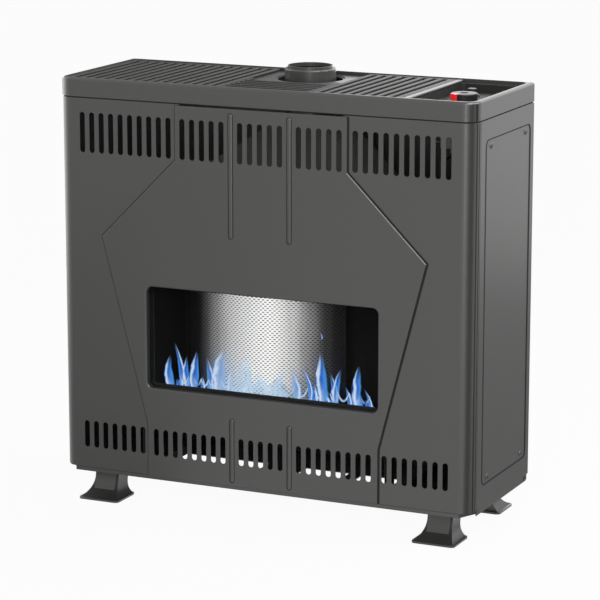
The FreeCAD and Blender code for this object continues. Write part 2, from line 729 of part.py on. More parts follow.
# Casing
def front_wing():
    """One side of the front: slotted sheet that rolls round the corner onto the side."""
    body = new_body("front_wing")
    t = s.skin
    inner = s.panel_top_half - s.panel_lap
    sheet_loop = outline(level(body, case_z), [
        (inner, front), (roll_x, front), (half_w, roll_y, roll_x, roll_y, 1), (half_w, wing_end),
        (inside_w, wing_end), (inside_w, roll_y), (roll_x, front + t, roll_x, roll_y, -1), (inner, front + t),
    ])
    pad(body, sheet_loop, seam_z - case_z)
    hidden = across(body, front)
    outline(hidden, [
        (inner, base_z + s.panel_top_bend), (inner - t, base_z + s.panel_top_bend), (inner - t, case_z - t),
        (panel_low_half - s.panel_lap, case_z - t), (panel_low_half - s.panel_lap, base_z + s.panel_low_bend),
        (panel_mid_half - s.panel_lap, base_z + s.panel_mid_bend),
    ])
    pocket(body, hidden, 2 * t)
    rows = (
        (upper_wing_slot, s.upper_slot_low, s.upper_slot_high, upper_wing_slots),
        (lower_wing_slot, s.lower_slot_low, s.lower_slot_high, lower_wing_slots),
    )
    for x, low, high, count in rows:
        first = upright_slot(across(body, front), x, base_z + low, base_z + high, s.slot_width)
        row(body, pocket(body, first, 2 * t), "X_Axis", (count - 1) * s.slot_pitch, count)
    return body


def panel_loop(inset):
    """Edge of the centre panel, drawn in by a margin."""
    right = [
        (panel_low_half - inset, case_z + inset), (panel_low_half - inset, base_z + s.panel_low_bend),
        (panel_mid_half - inset, base_z + s.panel_mid_bend),
        (s.panel_top_half - inset, base_z + s.panel_top_bend),
        (s.panel_top_half - inset, seam_z - s.panel_top_gap - inset),
    ]
    return right + [(-x, z) for x, z in reversed(right)]


def centre_panel():
    """The raised front panel: folded edge, slots, pressed ribs and the window with its flange."""
    body = new_body("centre_panel")
    pad(body, outline(across(body, front), panel_loop(0)), s.panel_proud)
    soften(body, "Fillet", s.panel_edge, lambda point: near(point.y, panel_face))
    pocket(body, outline(across(body, front), panel_loop(s.skin)), s.panel_proud - s.skin, reverse=True)
    rib_spans = ((s.upper_rib_low, s.upper_rib_high), (s.lower_rib_low, s.lower_rib_high))
    bump = across(body, panel_face + s.skin)
    groove = across(body, panel_face)
    for x in (-s.rib_offset, s.rib_offset):
        for low, high in rib_spans:
            upright_slot(bump, x, base_z + low - s.skin, base_z + high + s.skin, s.rib_width + 2 * s.skin)
            upright_slot(groove, x, base_z + low, base_z + high, s.rib_width)
    pad(body, bump, s.rib_depth, reverse=True)
    pocket(body, groove, s.rib_depth)
    middle_span = (s.middle_slots - 1) * s.slot_pitch
    inner_span = (lower_inner_slots - 1) * s.slot_pitch
    upper = (base_z + s.upper_slot_low, base_z + s.upper_slot_high)
    lower = (base_z + s.lower_slot_low, base_z + s.lower_slot_high)
    slot_rows = (
        ((-inner_slot - middle_span, -middle_span / 2, inner_slot), upper, middle_span, s.middle_slots),
        ((-middle_span / 2,), lower, middle_span, s.middle_slots),
        ((-inner_slot - inner_span, inner_slot), lower, inner_span, lower_inner_slots),
    )
    for starts, (low, high), span, count in slot_rows:
        first = across(body, panel_face)
        for x in starts:
            upright_slot(first, x, low, high, s.slot_width)
        row(body, pocket(body, first, 2 * s.skin), "X_Axis", span, count)
    t = s.skin
    frame = round_rectangle(across(body, panel_face), -window_half - t, window_lo - t,
                            window_half + t, window_hi + t, s.window_radius + t)
    pad(body, frame, s.panel_proud + s.window_flange, reverse=True)
    opening = round_rectangle(across(body, panel_face), -window_half, window_lo,
                              window_half, window_hi, s.window_radius)
    pocket(body, opening, s.panel_proud + s.window_flange + t)
    inside = window_half + t / 2

    def on_window_edge(point):
        level_ok = number(window_lo - t / 2) < point.z < number(window_hi + t / 2)
        return near(point.y, panel_face) and level_ok and abs(point.x) < number(inside)

    soften(body, "Fillet", s.window_roll, on_window_edge)
    return body


def side_panel():
    """Right side: flat sheet with flanges at top and rear and a ledge round the service opening."""
    body = new_body("side_panel")
    t, gap = s.skin, s.cover_joint
    profile = outline(alongside(body, inside_w), [
        (side_front, base_z), (back - s.notch_deep, base_z), (back - s.notch_deep, base_z + s.notch_high),
        (back, base_z + s.notch_high), (back, seam_z), (side_front, seam_z),
    ])
    pad(body, profile, t)
    lap = s.ledge_lap
    ledge = round_rectangle(alongside(body, inside_w), cover_y0 - lap, cover_z0 - lap,
                            cover_y1 + lap, cover_z1 + lap, s.cover_radius + lap)
    pad(body, ledge, t, reverse=True)
    opening = round_rectangle(alongside(body, half_w), cover_y0 - gap, cover_z0 - gap,
                              cover_y1 + gap, cover_z1 + gap, s.cover_radius + gap)
    pocket(body, opening, t)
    wide = s.ledge_wide
    service = round_rectangle(alongside(body, inside_w), cover_y0 + wide, cover_z0 + wide,
                              cover_y1 - wide, cover_z1 - wide, s.cover_radius)
    pocket(body, service, 2 * t)
    holes = alongside(body, inside_w)
    for y, z in cover_screws:
        circle(holes, y, z, s.screw_radius)
    pocket(body, holes, 2 * t)
    reliefs = alongside(body, half_w)
    for y in (side_front + s.relief_inset, back - s.notch_deep - s.relief_inset):
        low = base_z + s.relief_rise
        upright_slot(reliefs, y, low, low + s.relief_high, s.relief_wide)
    pocket(body, reliefs, 2 * t)
    rear = back - t - s.fit_gap
    top = rectangle(level(body, seam_z - t), half_w - s.flange_wide, side_front, inside_w, rear)
    pad(body, top, t)
    rear = rectangle(level(body, base_z + s.frame_high + t), half_w - s.flange_wide, frame_half_d - t,
                     inside_w, frame_half_d)
    pad(body, rear, s.seam_rise - s.frame_high - 2 * t)
    flange_holes = across(body, frame_half_d)
    for z in back_screw_heights:
        circle(flange_holes, half_w - s.back_screw_inset, z, s.screw_radius)
    pocket(body, flange_holes, 2 * t, reverse=True)
    return body


def side_cover():
    body = new_body("side_cover")
    plate = round_rectangle(alongside(body, inside_w), cover_y0, cover_z0, cover_y1, cover_z1, s.cover_radius)
    pad(body, plate, s.cover_thick)
    holes = alongside(body, half_w)
    for y, z in cover_screws:
        circle(holes, y, z, s.screw_radius)
    pocket(body, holes, 2 * s.skin)
    return body


def casing_screw(axis, x, y, z, outward):
    """A screw whose head stands outward from the face at the point given."""
    head_start = 0 if outward > 0 else -s.screw_head_high
    shank_start = -s.screw_long if outward > 0 else 0
    starts = {"x": (1, 0, 0), "y": (0, 1, 0)}[axis]
    solids = []
    for offset, radius, length in (
        (head_start, s.screw_head_radius, s.screw_head_high),
        (shank_start, s.screw_radius, s.screw_long),
    ):
        solids.append(rod(axis, x + starts[0] * offset, y + starts[1] * offset, z, radius, length))
    return fuse(*solids)


def back_panel():
    body = new_body("back_panel")
    t = s.skin
    pad(body, rectangle(across(body, back), -frame_half_w, back_low, frame_half_w, seam_z), t)
    steps = whole((s.case_width - 2 * s.vent_margin) / s.vent_pitch)
    span = steps * s.vent_pitch
    for low in (base_z + s.vent_low, base_z + s.vent_upper):
        vent = upright_slot(across(body, back), -span / 2, low, low + s.vent_high, s.vent_wide)
        row(body, pocket(body, vent, 2 * t, reverse=True), "X_Axis", span, steps + 1)
    holes = across(body, back)
    circle(holes, inlet_x, base_z + s.inlet_rise, s.inlet_hole)
    for z in back_screw_heights:
        for x in (-half_w + s.back_screw_inset, half_w - s.back_screw_inset):
            circle(holes, x, z, s.screw_radius)
    pocket(body, holes, 2 * t, reverse=True)
    return body


# Cap and what sits in it
def cap_loop():
    return [
        (roll_x, front), (half_w, roll_y, roll_x, roll_y, 1), (half_w, back),
        (-half_w, back), (-half_w, roll_y), (-roll_x, front, -roll_x, roll_y, 1),
    ]


bays = {
    "left": (-recess_half_w, -recess_half_d, -s.flue_half, recess_half_d),
    "centre": (-s.flue_half, -recess_half_d, s.flue_half, flue_bay_front),
    "flue": (-s.flue_half, flue_bay_front, s.flue_half, recess_half_d),
    "right": (s.flue_half, -recess_half_d, tray_left - s.deck_lip - s.rim_wide / 2, recess_half_d),
    "tray": (tray_left - s.deck_lip - s.rim_wide / 2, -recess_half_d, recess_half_w, recess_half_d),
}


def bay(name):
    """Plan of an insert in the cap, with its clearance."""
    x0, y0, x1, y1 = bays[name]
    gap = s.fit_gap
    return x0 + gap, y0 + gap, x1 - gap, y1 - gap


def top_cap():
    """Rolled rim round a sunk deck that has an opening under each insert."""
    body = new_body("top_cap")
    pad(body, outline(level(body, seam_z), cap_loop()), s.cap_height)
    soften(body, "Fillet", s.rim_roll, lambda point: near(point.z, cap_z))
    soften(body, "Chamfer", s.cap_chamfer, lambda point: near(point.z, seam_z))
    recess = round_rectangle(level(body, cap_z), -recess_half_w, -recess_half_d, recess_half_w, recess_half_d,
                             s.rim_radius)
    pocket(body, recess, s.rim_depth)
    wall = s.cap_wall
    hollow = round_rectangle(level(body, seam_z), -half_w + wall, front + wall, half_w - wall, back - wall,
                             s.corner_radius)
    pocket(body, hollow, s.cap_height - s.rim_depth - s.deck_thick, reverse=True)
    openings = level(body, deck_z)
    lip = s.deck_lip
    for name in ("left", "centre", "right", "tray"):
        x0, y0, x1, y1 = bays[name]
        rectangle(openings, x0 + lip, y0 + lip, x1 - lip, y1 - lip)
    circle(openings, 0, flue_y, s.flue_hole_radius - lip / 2)
    pocket(body, openings, 2 * s.deck_thick)
    return body


def bay_loop(sketch, name):
    """Outline of an insert; its corners at the casing's end follow the recess."""
    x0, y0, x1, y1 = bay(name)
    r = s.rim_radius
    if name == "left":
        return outline(sketch, [(x0 + r, y0, x0 + r, y0 + r, 1), (x1, y0), (x1, y1), (x0 + r, y1),
                                (x0, y1 - r, x0 + r, y1 - r, 1), (x0, y0 + r)])
    if name == "tray":
        return outline(sketch, [(x0, y0), (x1 - r, y0), (x1, y0 + r, x1 - r, y0 + r, 1), (x1, y1 - r),
                                (x1 - r, y1, x1 - r, y1 - r, 1), (x0, y1)])
    return rectangle(sketch, x0, y0, x1, y1)


def slat_grille(name):
    """A grille of slats that run from front to rear, as many as fit."""
    body = new_body("top_grille_" + name)
    x0, y0, x1, y1 = bay(name)
    pad(body, bay_loop(level(body, deck_z), name), s.slat_high)
    gap = s.slat_pitch - s.slat_wide
    land = s.left_land if name == "left" else 0
    count = whole((x1 - x0 - s.slat_wide - land) / s.slat_pitch)
    first_gap = x1 - count * s.slat_pitch if name == "left" else x0 + s.slat_wide
    slats = level(body, deck_z + s.slat_high)
    opening = rectangle(slats, first_gap, y0 + s.slat_end, first_gap + gap, y1 - s.slat_end)
    row(body, pocket(body, opening, 2 * s.slat_high), "X_Axis", (count - 1) * s.slat_pitch, count)
    return body


def centre_grille():
    """A grille of slats that run across the heater, in front of the flue."""
    body = new_body("top_grille_centre")
    x0, y0, x1, y1 = bay("centre")
    pad(body, bay_loop(level(body, deck_z), "centre"), s.slat_high)
    gap = s.slat_pitch - s.slat_wide
    first = y0 + s.slat_end
    count = whole((y1 - first) / s.slat_pitch)
    slats = level(body, deck_z + s.slat_high)
    opening = rectangle(slats, x0 + s.slat_wide, first, x1 - s.slat_wide, first + gap)
    row(body, pocket(body, opening, 2 * s.slat_high), "Y_Axis", (count - 1) * s.slat_pitch, count)
    return body


def flue_plate():
    body = new_body("flue_plate")
    plate = bay_loop(level(body, deck_z), "flue")
    pad(body, circle(plate, 0, flue_y, s.flue_hole_radius), s.deck_thick)
    return body


def control_tray():
    """The sunk well for the controls with its flange on the deck."""
    body = new_body("control_tray")
    t, r = s.skin, s.tray_radius
    pad(body, bay_loop(level(body, deck_z), "tray"), t)
    outside = round_rectangle(level(body, deck_z + t), tray_left - t, tray_front - t,
                              tray_right + t, tray_rear + t, r + t)
    pad(body, outside, s.tray_depth + 2 * t, reverse=True)
    well = round_rectangle(level(body, deck_z + t), tray_left, tray_front, tray_right, tray_rear, r)
    pocket(body, well, s.tray_depth + t)
    holes = circle(level(body, well_z), knob_x, s.knob_y, s.neck_radius + s.fit_gap)
    circle(holes, button_x, button_y, s.igniter_neck + s.fit_gap)
    pocket(body, holes, 2 * t)
    return body


def flue_collar():
    """Spigot for the flue pipe: foot flange on the hood, straight spigot, turned-in neck."""
    body = new_body("flue_collar")
    r, w = s.collar_radius, s.collar_wall
    neck = r - s.collar_neck
    shoulder = cap_z + s.collar_above
    top = shoulder + s.collar_neck_high
    profile = outline(across(body, 0), [
        (r - w, hood_top), (s.collar_flange, hood_top), (s.collar_flange, hood_top + w), (r, hood_top + w),
        (r, shoulder - w), (r - w, shoulder, r - w, shoulder - w, 1), (neck, shoulder), (neck, top),
        (neck - w, top), (neck - w, shoulder - w), (r - w, shoulder - w),
    ])
    turned = body.newObject("PartDesign::Revolution", "Turned")
    turned.Profile = profile
    turned.ReferenceAxis = (origin_feature(body, "Z_Axis"), [""])
    turned.Angle = 360
    place(body, 0, flue_y, 0)
    return body


# Base and feet
def frame_loop(inset):
    """Edge of the base frame with its front corners cut off, drawn in by a margin."""
    w, d = frame_half_w - inset, frame_half_d - inset
    wide, deep = s.frame_cut_wide, s.frame_cut_deep
    return [(-w + wide, -d), (w - wide, -d), (w, -d + deep), (w, d), (-w, d), (-w, -d + deep)]


def base_frame():
    """Tray-shaped base: upstands all round and three air inlets in its floor."""
    body = new_body("base_frame")
    t = s.frame_sheet
    pad(body, outline(level(body, base_z), frame_loop(0)), s.frame_high)
    pocket(body, outline(level(body, base_z + s.frame_high), frame_loop(t)), s.frame_high - t)
    inlets = level(body, base_z + t)
    for x0, x1 in (
        (-half_w + s.air_left_margin, -s.air_left_end), (s.air_middle_start, s.air_middle_end),
        (s.air_right_start, half_w - s.air_right_margin),
    ):
        rectangle(inlets, x0, -open_half_d, x1, back - s.air_rear_edge)
    pocket(body, inlets, 2 * t)
    holes = level(body, base_z + t)
    for x, y in foot_places:
        circle(holes, x, y, s.foot_screw_radius + s.foot_screw_gap)
    pocket(body, holes, 2 * t)
    return body


def foot(name, x, y, angle):
    """A foot: flange on the floor, waisted block that slopes back from the toe, strap over the slope."""
    body = new_body(name)
    w, d = s.foot_wide / 2, s.foot_deep / 2
    draw = s.foot_draw
    pad(body, round_rectangle(level(body, 0), -w, -d, w, d, s.foot_corner), s.foot_flange)
    lower = rectangle(level(body, s.foot_flange), -w + draw, -d + draw, w - draw, d - draw)
    waist_w, top_w = s.foot_waist_wide / 2, s.foot_top_wide / 2
    top_y = -d + s.foot_top_back
    waist = rectangle(level(body, s.foot_waist_rise), -waist_w, -d + s.foot_waist_back, waist_w, d - draw)
    upper = rectangle(level(body, base_z), -top_w, top_y, top_w, top_y + s.foot_top_deep)
    block = body.newObject("PartDesign::AdditiveLoft", "Block")
    block.Profile = lower
    block.Sections = [waist, upper]
    shelf_z = base_z - s.strap_drop
    toe_y = -d + s.strap_start
    shelf_y = toe_y + s.strap_lean
    rise = shelf_z - s.foot_flange
    bulge = (s.strap_lean * s.strap_lean + rise * rise) / (2 * s.strap_lean)
    strap = outline(alongside(body, 0), [
        (toe_y, s.foot_flange, shelf_y - bulge, shelf_z, -1), (d - 2 * draw, s.foot_flange),
        (d - 2 * draw, shelf_z), (shelf_y, shelf_z),
    ])
    pad(body, strap, s.strap_wide, both=True)
    seat = circle(level(body, 0), 0, foot_hole, s.foot_screw_head + s.fit_gap)
    pocket(body, seat, s.foot_screw_seat, reverse=True)
    hole = circle(level(body, 0), 0, foot_hole, s.foot_screw_radius + s.foot_screw_gap)
    pocket(body, hole, base_z, reverse=True)
    body.Placement = FreeCAD.Placement(FreeCAD.Vector(), FreeCAD.Rotation(FreeCAD.Vector(0, 0, 1), angle))
    return place(body, x, y, 0)


def foot_screw(x, y):
    seat = s.foot_screw_seat
    shank = rod("z", x, y, seat, s.foot_screw_radius, base_z + s.frame_sheet + s.foot_screw_tip - seat)
    head = rod("z", x, y, seat - s.foot_screw_head_high, s.foot_screw_head, s.foot_screw_head_high)
    return fuse(shank, head)


# Window
def frame_ring(name, y, inner, outer, thick):
    """A flat gasket round the window."""
    body = new_body(name)
    loop = across(body, y)
    for margin in (outer, inner):
        round_rectangle(loop, -window_half - margin, window_lo - margin, window_half + margin,
                        window_hi + margin, s.window_radius + margin)
    pad(body, loop, thick, reverse=True)
    return body


def window_glass():
    body = new_body("window_glass")
    lap = s.glass_lap
    plate = round_rectangle(across(body, glass_y), -window_half - lap, window_lo - lap, window_half + lap,
                            window_hi + lap, s.window_radius)
    pad(body, plate, s.glass_thick, reverse=True)
    return body


def glass_clip(x, upward):
    """A bent clip from the panel round the edge of the glass."""
    t = s.skin
    panel_back = panel_face + t
    edge = window_hi + s.glass_lap if upward else window_lo - s.glass_lap
    sign = 1 if upward else -1
    web = edge + sign * s.fit_gap
    spans = (
        (panel_back, panel_back + t, web, web + sign * s.clip_foot),
        (panel_back, seal_y + t, web, web + sign * t),
        (seal_y, seal_y + t, web + sign * t, edge - sign * s.clip_grip),
    )
    solids = []
    for y0, y1, z0, z1 in spans:
        low, high = (z0, z1) if number(z0) < number(z1) else (z1, z0)
        solids.append(box(x - s.clip_wide / 2, y0, low, x + s.clip_wide / 2, y1, high))
    return fuse(*solids)


# Combustion chamber
def firebox():
    t = s.bracket_thick
    w, y0, y1 = firebox_half, firebox_y, firebox_back
    inset = s.seal_inset
    shell = box(-w, y0, firebox_lo, w, y1, firebox_hi)
    room = box(-w + t, y0 + t, firebox_lo + t, w - t, y1 - t, firebox_hi - t)
    clear_half = window_half - inset
    slot_left = -window_half - s.burner_slot_margin
    sight = box(-clear_half, y0 - t, window_lo + inset, clear_half, y0 + 2 * t, window_hi - inset)
    slot = box(slot_left, y0 + t, firebox_lo - t, pilot_right, burner_slot_back, firebox_lo + 2 * t)
    outlet = box(t - hood_half, hood_front + t, firebox_hi - 2 * t, hood_half - t, y1 - 2 * t, firebox_hi + t)
    feed = rod("x", w - 2 * t, burner_axis_y, burner_axis_z, s.burner_radius + s.fit_gap, 3 * t)
    return cut(shell, room, sight, slot, outlet, feed)


def wedge(inset):
    """The tapering space of the hood; it stands on the firebox and narrows to the collar."""
    feature = doc.addObject("Part::Wedge", "Taper")
    top = s.hood_top_half - inset
    spans = (
        ("Xmin", -hood_half + inset), ("Xmax", hood_half - inset),
        ("Zmin", -firebox_back + inset), ("Zmax", -hood_front - inset),
        ("X2min", -top), ("X2max", top), ("Z2min", -flue_y - top), ("Z2max", -flue_y + top),
        ("Ymin", 0), ("Ymax", s.hood_high),
    )
    for name, size in spans:
        bind(feature, name, size)
    feature.Placement = FreeCAD.Placement(FreeCAD.Vector(), FreeCAD.Rotation(FreeCAD.Vector(1, 0, 0), 90))
    return place(feature, 0, 0, firebox_hi)


def flue_hood():
    t = s.bracket_thick
    shell = cut(wedge(0), wedge(t))
    lid = box(-s.hood_top_half, flue_y - s.hood_top_half, hood_top - t,
              s.hood_top_half, flue_y + s.hood_top_half, hood_top)
    outlet = rod("z", 0, flue_y, hood_top - 2 * t, s.collar_radius - s.collar_wall, 3 * t)
    return cut(fuse(shell, lid), outlet)


def radiant_screen():
    """The curved sheet behind the flames."""
    body = new_body("radiant_screen")
    r, t, w, x = s.screen_radius, s.screen_thick, s.screen_half, -s.screen_shift
    axis_y = front + s.screen_front + r
    deep = Dim(math.sqrt(number(r) ** 2 - number(w) ** 2), f"sqrt({r.text}^2 - {w.text}^2)")
    scale = Dim(number(r - t) / number(r), f"({(r - t).text} / {r.text})")
    profile = outline(level(body, window_lo - s.screen_drop), [
        (x - w, axis_y - deep), (x + w, axis_y - deep, x, axis_y, 1),
        (x + w * scale, axis_y - deep * scale), (x - w * scale, axis_y - deep * scale, x, axis_y, -1),
    ])
    pad(body, profile, window_hi + s.screen_over - window_lo + s.screen_drop)
    return body, axis_y - deep


def burner_tube():
    """A bar burner: capped tube with a row of ports along its front shoulder."""
    r, w = s.burner_radius, s.burner_wall
    left, right = -burner_left, burner_right
    tube = cut(rod("x", left, burner_axis_y, burner_axis_z, r, right - left),
               rod("x", left + w, burner_axis_y, burner_axis_z, r - w, right - left))
    steps = whole((right - left - 2 * s.port_margin) / s.port_pitch)
    span = steps * s.port_pitch
    middle = (left + right) / 2
    body = new_body("port_cutter")
    first = circle(level(body, burner_axis_z), middle - span / 2, burner_axis_y - r / 2, s.port_radius)
    row(body, pad(body, first, 2 * r), "X_Axis", span, steps + 1)
    return cut(tube, body)


def burner_saddle(x):
    t = s.bracket_thick
    plate = box(x, firebox_y + t, firebox_lo + t, x + t, burner_slot_back + s.clip_grip / 2, burner_axis_z)
    bed = rod("x", x - t, burner_axis_y, burner_axis_z, s.burner_radius + s.spindle_gap, 3 * t)
    return cut(plate, bed)


# Gas train

def gas_valve():
    w, d = s.valve_wide / 2, s.valve_deep / 2
    x, y = knob_x, s.knob_y
    block = box(x - w, y - d, valve_low, x + w, y + d, valve_top)
    neck = rod("z", x, y, valve_top - 1, s.neck_radius, neck_top - valve_top + 1)
    spring_bore = rod("z", x, y, bore_floor, s.neck_bore, s.neck_bore_deep + 1)
    spindle_bore = rod("z", x, y, spindle_low - s.fit_gap, s.spindle_radius + s.spindle_gap, s.valve_high)
    return cut(fuse(block, neck), spring_bore, spindle_bore)


def valve_bracket():
    """A bridge that hangs the valve under the control tray."""
    t, reach = s.bracket_thick, s.bracket_reach
    x0, x1 = knob_x - s.valve_wide / 2 - reach, knob_x + s.valve_wide / 2 + reach
    y0, y1 = s.knob_y - s.valve_deep / 2, s.knob_y + s.valve_deep / 2
    top = well_z - s.skin
    bridge = box(x0, y0, valve_top, x1, y1, valve_top + t)
    legs = [box(x, y0, valve_top, x + t, y1, top) for x in (x0, x1 - t)]
    ears = [box(x, y0, top - t, x + reach / 2, y1, top) for x in (x0, x1 - reach / 2)]
    neck = rod("z", knob_x, s.knob_y, valve_top - t, s.neck_radius + s.fit_gap, 3 * t)
    return cut(fuse(bridge, *legs, *ears), neck)


def igniter_housing():
    x, y = button_x, button_y
    under = well_z - s.skin
    barrel = rod("z", x, y, igniter_low, s.igniter_radius, s.igniter_long)
    collar = rod("z", x, y, under - 1, s.igniter_neck, igniter_top - under + 1)
    floor = button_low - s.button_spring_high
    bore = rod("z", x, y, floor, s.button_radius + s.button_gap, s.button_long + s.igniter_long)
    return cut(fuse(barrel, collar), bore)


def igniter_nut():
    nut = doc.addObject("Part::Prism", "Nut")
    nut.Polygon = 6
    bind(nut, "Circumradius", s.nut_radius)
    bind(nut, "Height", s.nut_high)
    place(nut, button_x, button_y, well_z)
    return cut(nut, rod("z", button_x, button_y, well_z - 1, s.igniter_neck + s.fit_gap / 2, s.nut_high + 2))


def sleeve(x, y, z, radius, wall, length):
    """The space of a close-wound spring."""
    return cut(rod("z", x, y, z, radius, length), rod("z", x, y, z - 1, radius - wall, length + 2))


def control_knob():
    """Turned knob with a dimple on top, a hollow below and a seat for the pointer."""
    body = new_body("control_knob")
    r, h = s.knob_radius, s.knob_high
    bore = s.spindle_radius + s.spindle_gap
    roll = s.knob_roll
    deep = s.knob_hollow_deep
    profile = outline(across(body, 0), [
        (bore, deep), (s.knob_hollow_radius, deep), (s.knob_hollow_radius, 0), (r, 0), (r, h - roll),
        (r - roll, h, r - roll, h - roll, 1), (s.knob_dimple_radius, h),
        (s.knob_dimple_radius, h - s.knob_dimple_deep), (0, h - s.knob_dimple_deep),
        (0, s.spindle_in_knob + s.fit_gap), (bore, s.spindle_in_knob + s.fit_gap),
    ])
    turned = body.newObject("PartDesign::Revolution", "Turned")
    turned.Profile = profile
    turned.ReferenceAxis = (origin_feature(body, "Z_Axis"), [""])
    turned.Angle = 360
    half = s.pointer_wide / 2
    seat = rectangle(level(body, h), s.pointer_in, -half, r + roll, half)
    pocket(body, seat, h - s.pointer_foot)
    turn_z(body, s.pointer_angle)
    return place(body, knob_x, s.knob_y, knob_low)


def knob_pointer():
    body = new_body("knob_pointer")
    half = s.pointer_wide / 2
    blade = rectangle(level(body, s.pointer_foot), s.pointer_in, -half, s.pointer_out, half)
    pad(body, blade, s.knob_high - s.pointer_foot)
    turn_z(body, s.pointer_angle)
    return place(body, knob_x, s.knob_y, knob_low)


def igniter_button():
    body = new_body("igniter_button")
    r, h, roll = s.button_radius, s.button_long, s.button_roll
    profile = outline(across(body, 0), [
        (0, 0), (r, 0), (r, h - roll), (r - roll, h, r - roll, h - roll, 1), (0, h),
    ])
    turned = body.newObject("PartDesign::Revolution", "Turned")
    turned.Profile = profile
    turned.ReferenceAxis = (origin_feature(body, "Z_Axis"), [""])
    turned.Angle = 360
    return place(body, button_x, button_y, button_low)


def inlet_fitting():
    """Elbow with the male thread for the supply at the rear."""
    half = s.inlet_block / 2
    x, z = inlet_x, inlet_z
    block = box(x - half, inlet_y - half, z - half, x + half, inlet_y + half, z + half)
    thread = rod("y", x, inlet_y, z, s.inlet_thread, inlet_end - inlet_y)
    bore = rod("y", x, inlet_y, z, s.inlet_bore, s.inlet_thread_long * 3)
    return cut(fuse(block, thread), bore)


def inlet_bracket():
    """Angle that carries the inlet on the base frame's rear upstand."""
    half, t = s.inlet_block / 2, s.bracket_thick
    x = inlet_x
    low = base_z + s.frame_sheet
    shelf_z = inlet_z - half
    shelf = box(x - half, inlet_y - half, shelf_z - t, x + half, inlet_y + half, shelf_z)
    leg = box(x - half, inlet_y + half - t, low, x + half, inlet_y + half, shelf_z)
    return fuse(shelf, leg)


def injector_holder():
    half = s.holder_size / 2
    x = holder_x
    y, z = burner_axis_y, burner_axis_z
    return box(x - half, y - half, z - half, x + half, y + half, z + half)


def holder_bracket():
    """Plate that ties the injector holder to the firebox wall."""
    t, half = s.bracket_thick, s.holder_size / 2
    top = burner_axis_z - half
    return box(firebox_half, burner_axis_y - half, top - t, holder_x + half, burner_axis_y + half, top)


def injector():
    tip = holder_x - s.holder_size / 2
    body = rod("x", tip - s.injector_long, burner_axis_y, burner_axis_z, s.injector_radius, s.injector_long)
    start = tip - s.injector_long - 1
    hole = rod("x", start, burner_axis_y, burner_axis_z, s.injector_bore, s.injector_long + 2)
    return cut(body, hole)


def pilot_bracket():
    """Shelf on the firebox wall that holds pilot, thermocouple and electrode."""
    t, reach = s.bracket_thick, s.pilot_pitch
    wall = firebox_half - t
    x0 = pilot_x - 2 * reach
    y0, y1 = pilot_y - reach, pilot_y + 2 * reach
    shelf = box(x0, y0, pilot_shelf, wall, y1, pilot_shelf + t)
    ear = box(wall - t, y0, pilot_shelf, wall, y1, pilot_shelf + 2 * reach)
    holes = [
        rod("z", *pilot_places[name], pilot_shelf - t, radius + s.spindle_gap, 3 * t)
        for name, radius in (
            ("pilot", s.pilot_tube_radius), ("probe", s.probe_radius), ("electrode", s.electrode_radius),
        )
    ]
    return cut(fuse(shelf, ear), *holes)


def pilot_burner():
    x, y = pilot_places["pilot"]
    top = pilot_shelf + s.bracket_thick
    head = rod("z", x, y, top, s.pilot_radius, s.pilot_high)
    bore = rod("z", x, y, top - 1, s.pilot_tube_radius, s.pilot_high - s.pilot_radius)
    window = box(x - s.pilot_tube_radius, y - 2 * s.pilot_radius, top + s.pilot_high - 2 * s.pilot_radius,
                 x + s.pilot_tube_radius, y, top + s.pilot_high - s.pilot_radius)
    return cut(head, bore, window)


def spark_electrode():
    x, y = pilot_places["electrode"]
    low = firebox_lo - s.bracket_thick
    top = pilot_shelf + s.bracket_thick + s.electrode_high
    stem = rod("z", x, y, low, s.electrode_radius, top - low)
    return fuse(stem, rod("z", x, y, top, s.electrode_tip, s.electrode_tip_high))


# Lines
def supply_pipe():
    run_z = valve_low - 2 * s.supply_bend + s.supply_radius
    return line([
        (inlet_x, inlet_y, inlet_z + s.inlet_block / 2), (inlet_x, inlet_y, run_z),
        (inlet_x, s.knob_y, run_z), (inlet_x, s.knob_y, valve_low),
    ], s.supply_radius, s.supply_bend)


def burner_pipe():
    level_z = valve_top - s.valve_high / 2
    return line([
        (left_face, s.knob_y, level_z), (column, s.knob_y, level_z), (column, s.knob_y, burner_axis_z),
        (column, burner_axis_y + s.holder_size / 2, burner_axis_z),
    ], s.burner_pipe_radius, s.burner_pipe_bend)


def pilot_tube():
    x, y = pilot_places["pilot"]
    level_z = valve_low + s.lead_pitch
    outlet_y = s.knob_y - s.valve_deep / 2 + s.lead_pitch
    drop_x = column + s.lead_pitch
    return line([
        (left_face, outlet_y, level_z), (drop_x, outlet_y, level_z), (drop_x, outlet_y, under_box),
        (drop_x, y, under_box), (x, y, under_box), (x, y, pilot_shelf + s.bracket_thick),
    ], s.pilot_tube_radius, s.lead_bend)


def thermocouple():
    """Probe beside the pilot with its lead to the valve."""
    x, y = pilot_places["probe"]
    drop_x = left_face + s.lead_pitch
    under = under_box - s.lead_pitch
    foot_z = firebox_lo
    lead = line([
        (x, y, foot_z), (x, y, under), (drop_x, y, under), (drop_x, y, valve_low - 2 * s.lead_pitch),
        (drop_x, s.knob_y, valve_low - 2 * s.lead_pitch), (drop_x, s.knob_y, valve_low),
    ], s.lead_radius, s.lead_bend)
    probe = rod("z", x, y, foot_z, s.probe_radius, pilot_shelf - foot_z + s.probe_high)
    return fuse(lead, probe)


def ignition_lead():
    x, y = pilot_places["electrode"]
    under = under_box - 2 * s.lead_pitch
    return line([
        (x, y, firebox_lo - s.bracket_thick), (x, y, under), (button_x, y, under),
        (button_x, button_y, under), (button_x, button_y, igniter_low),
    ], s.spark_lead_radius, s.lead_bend)


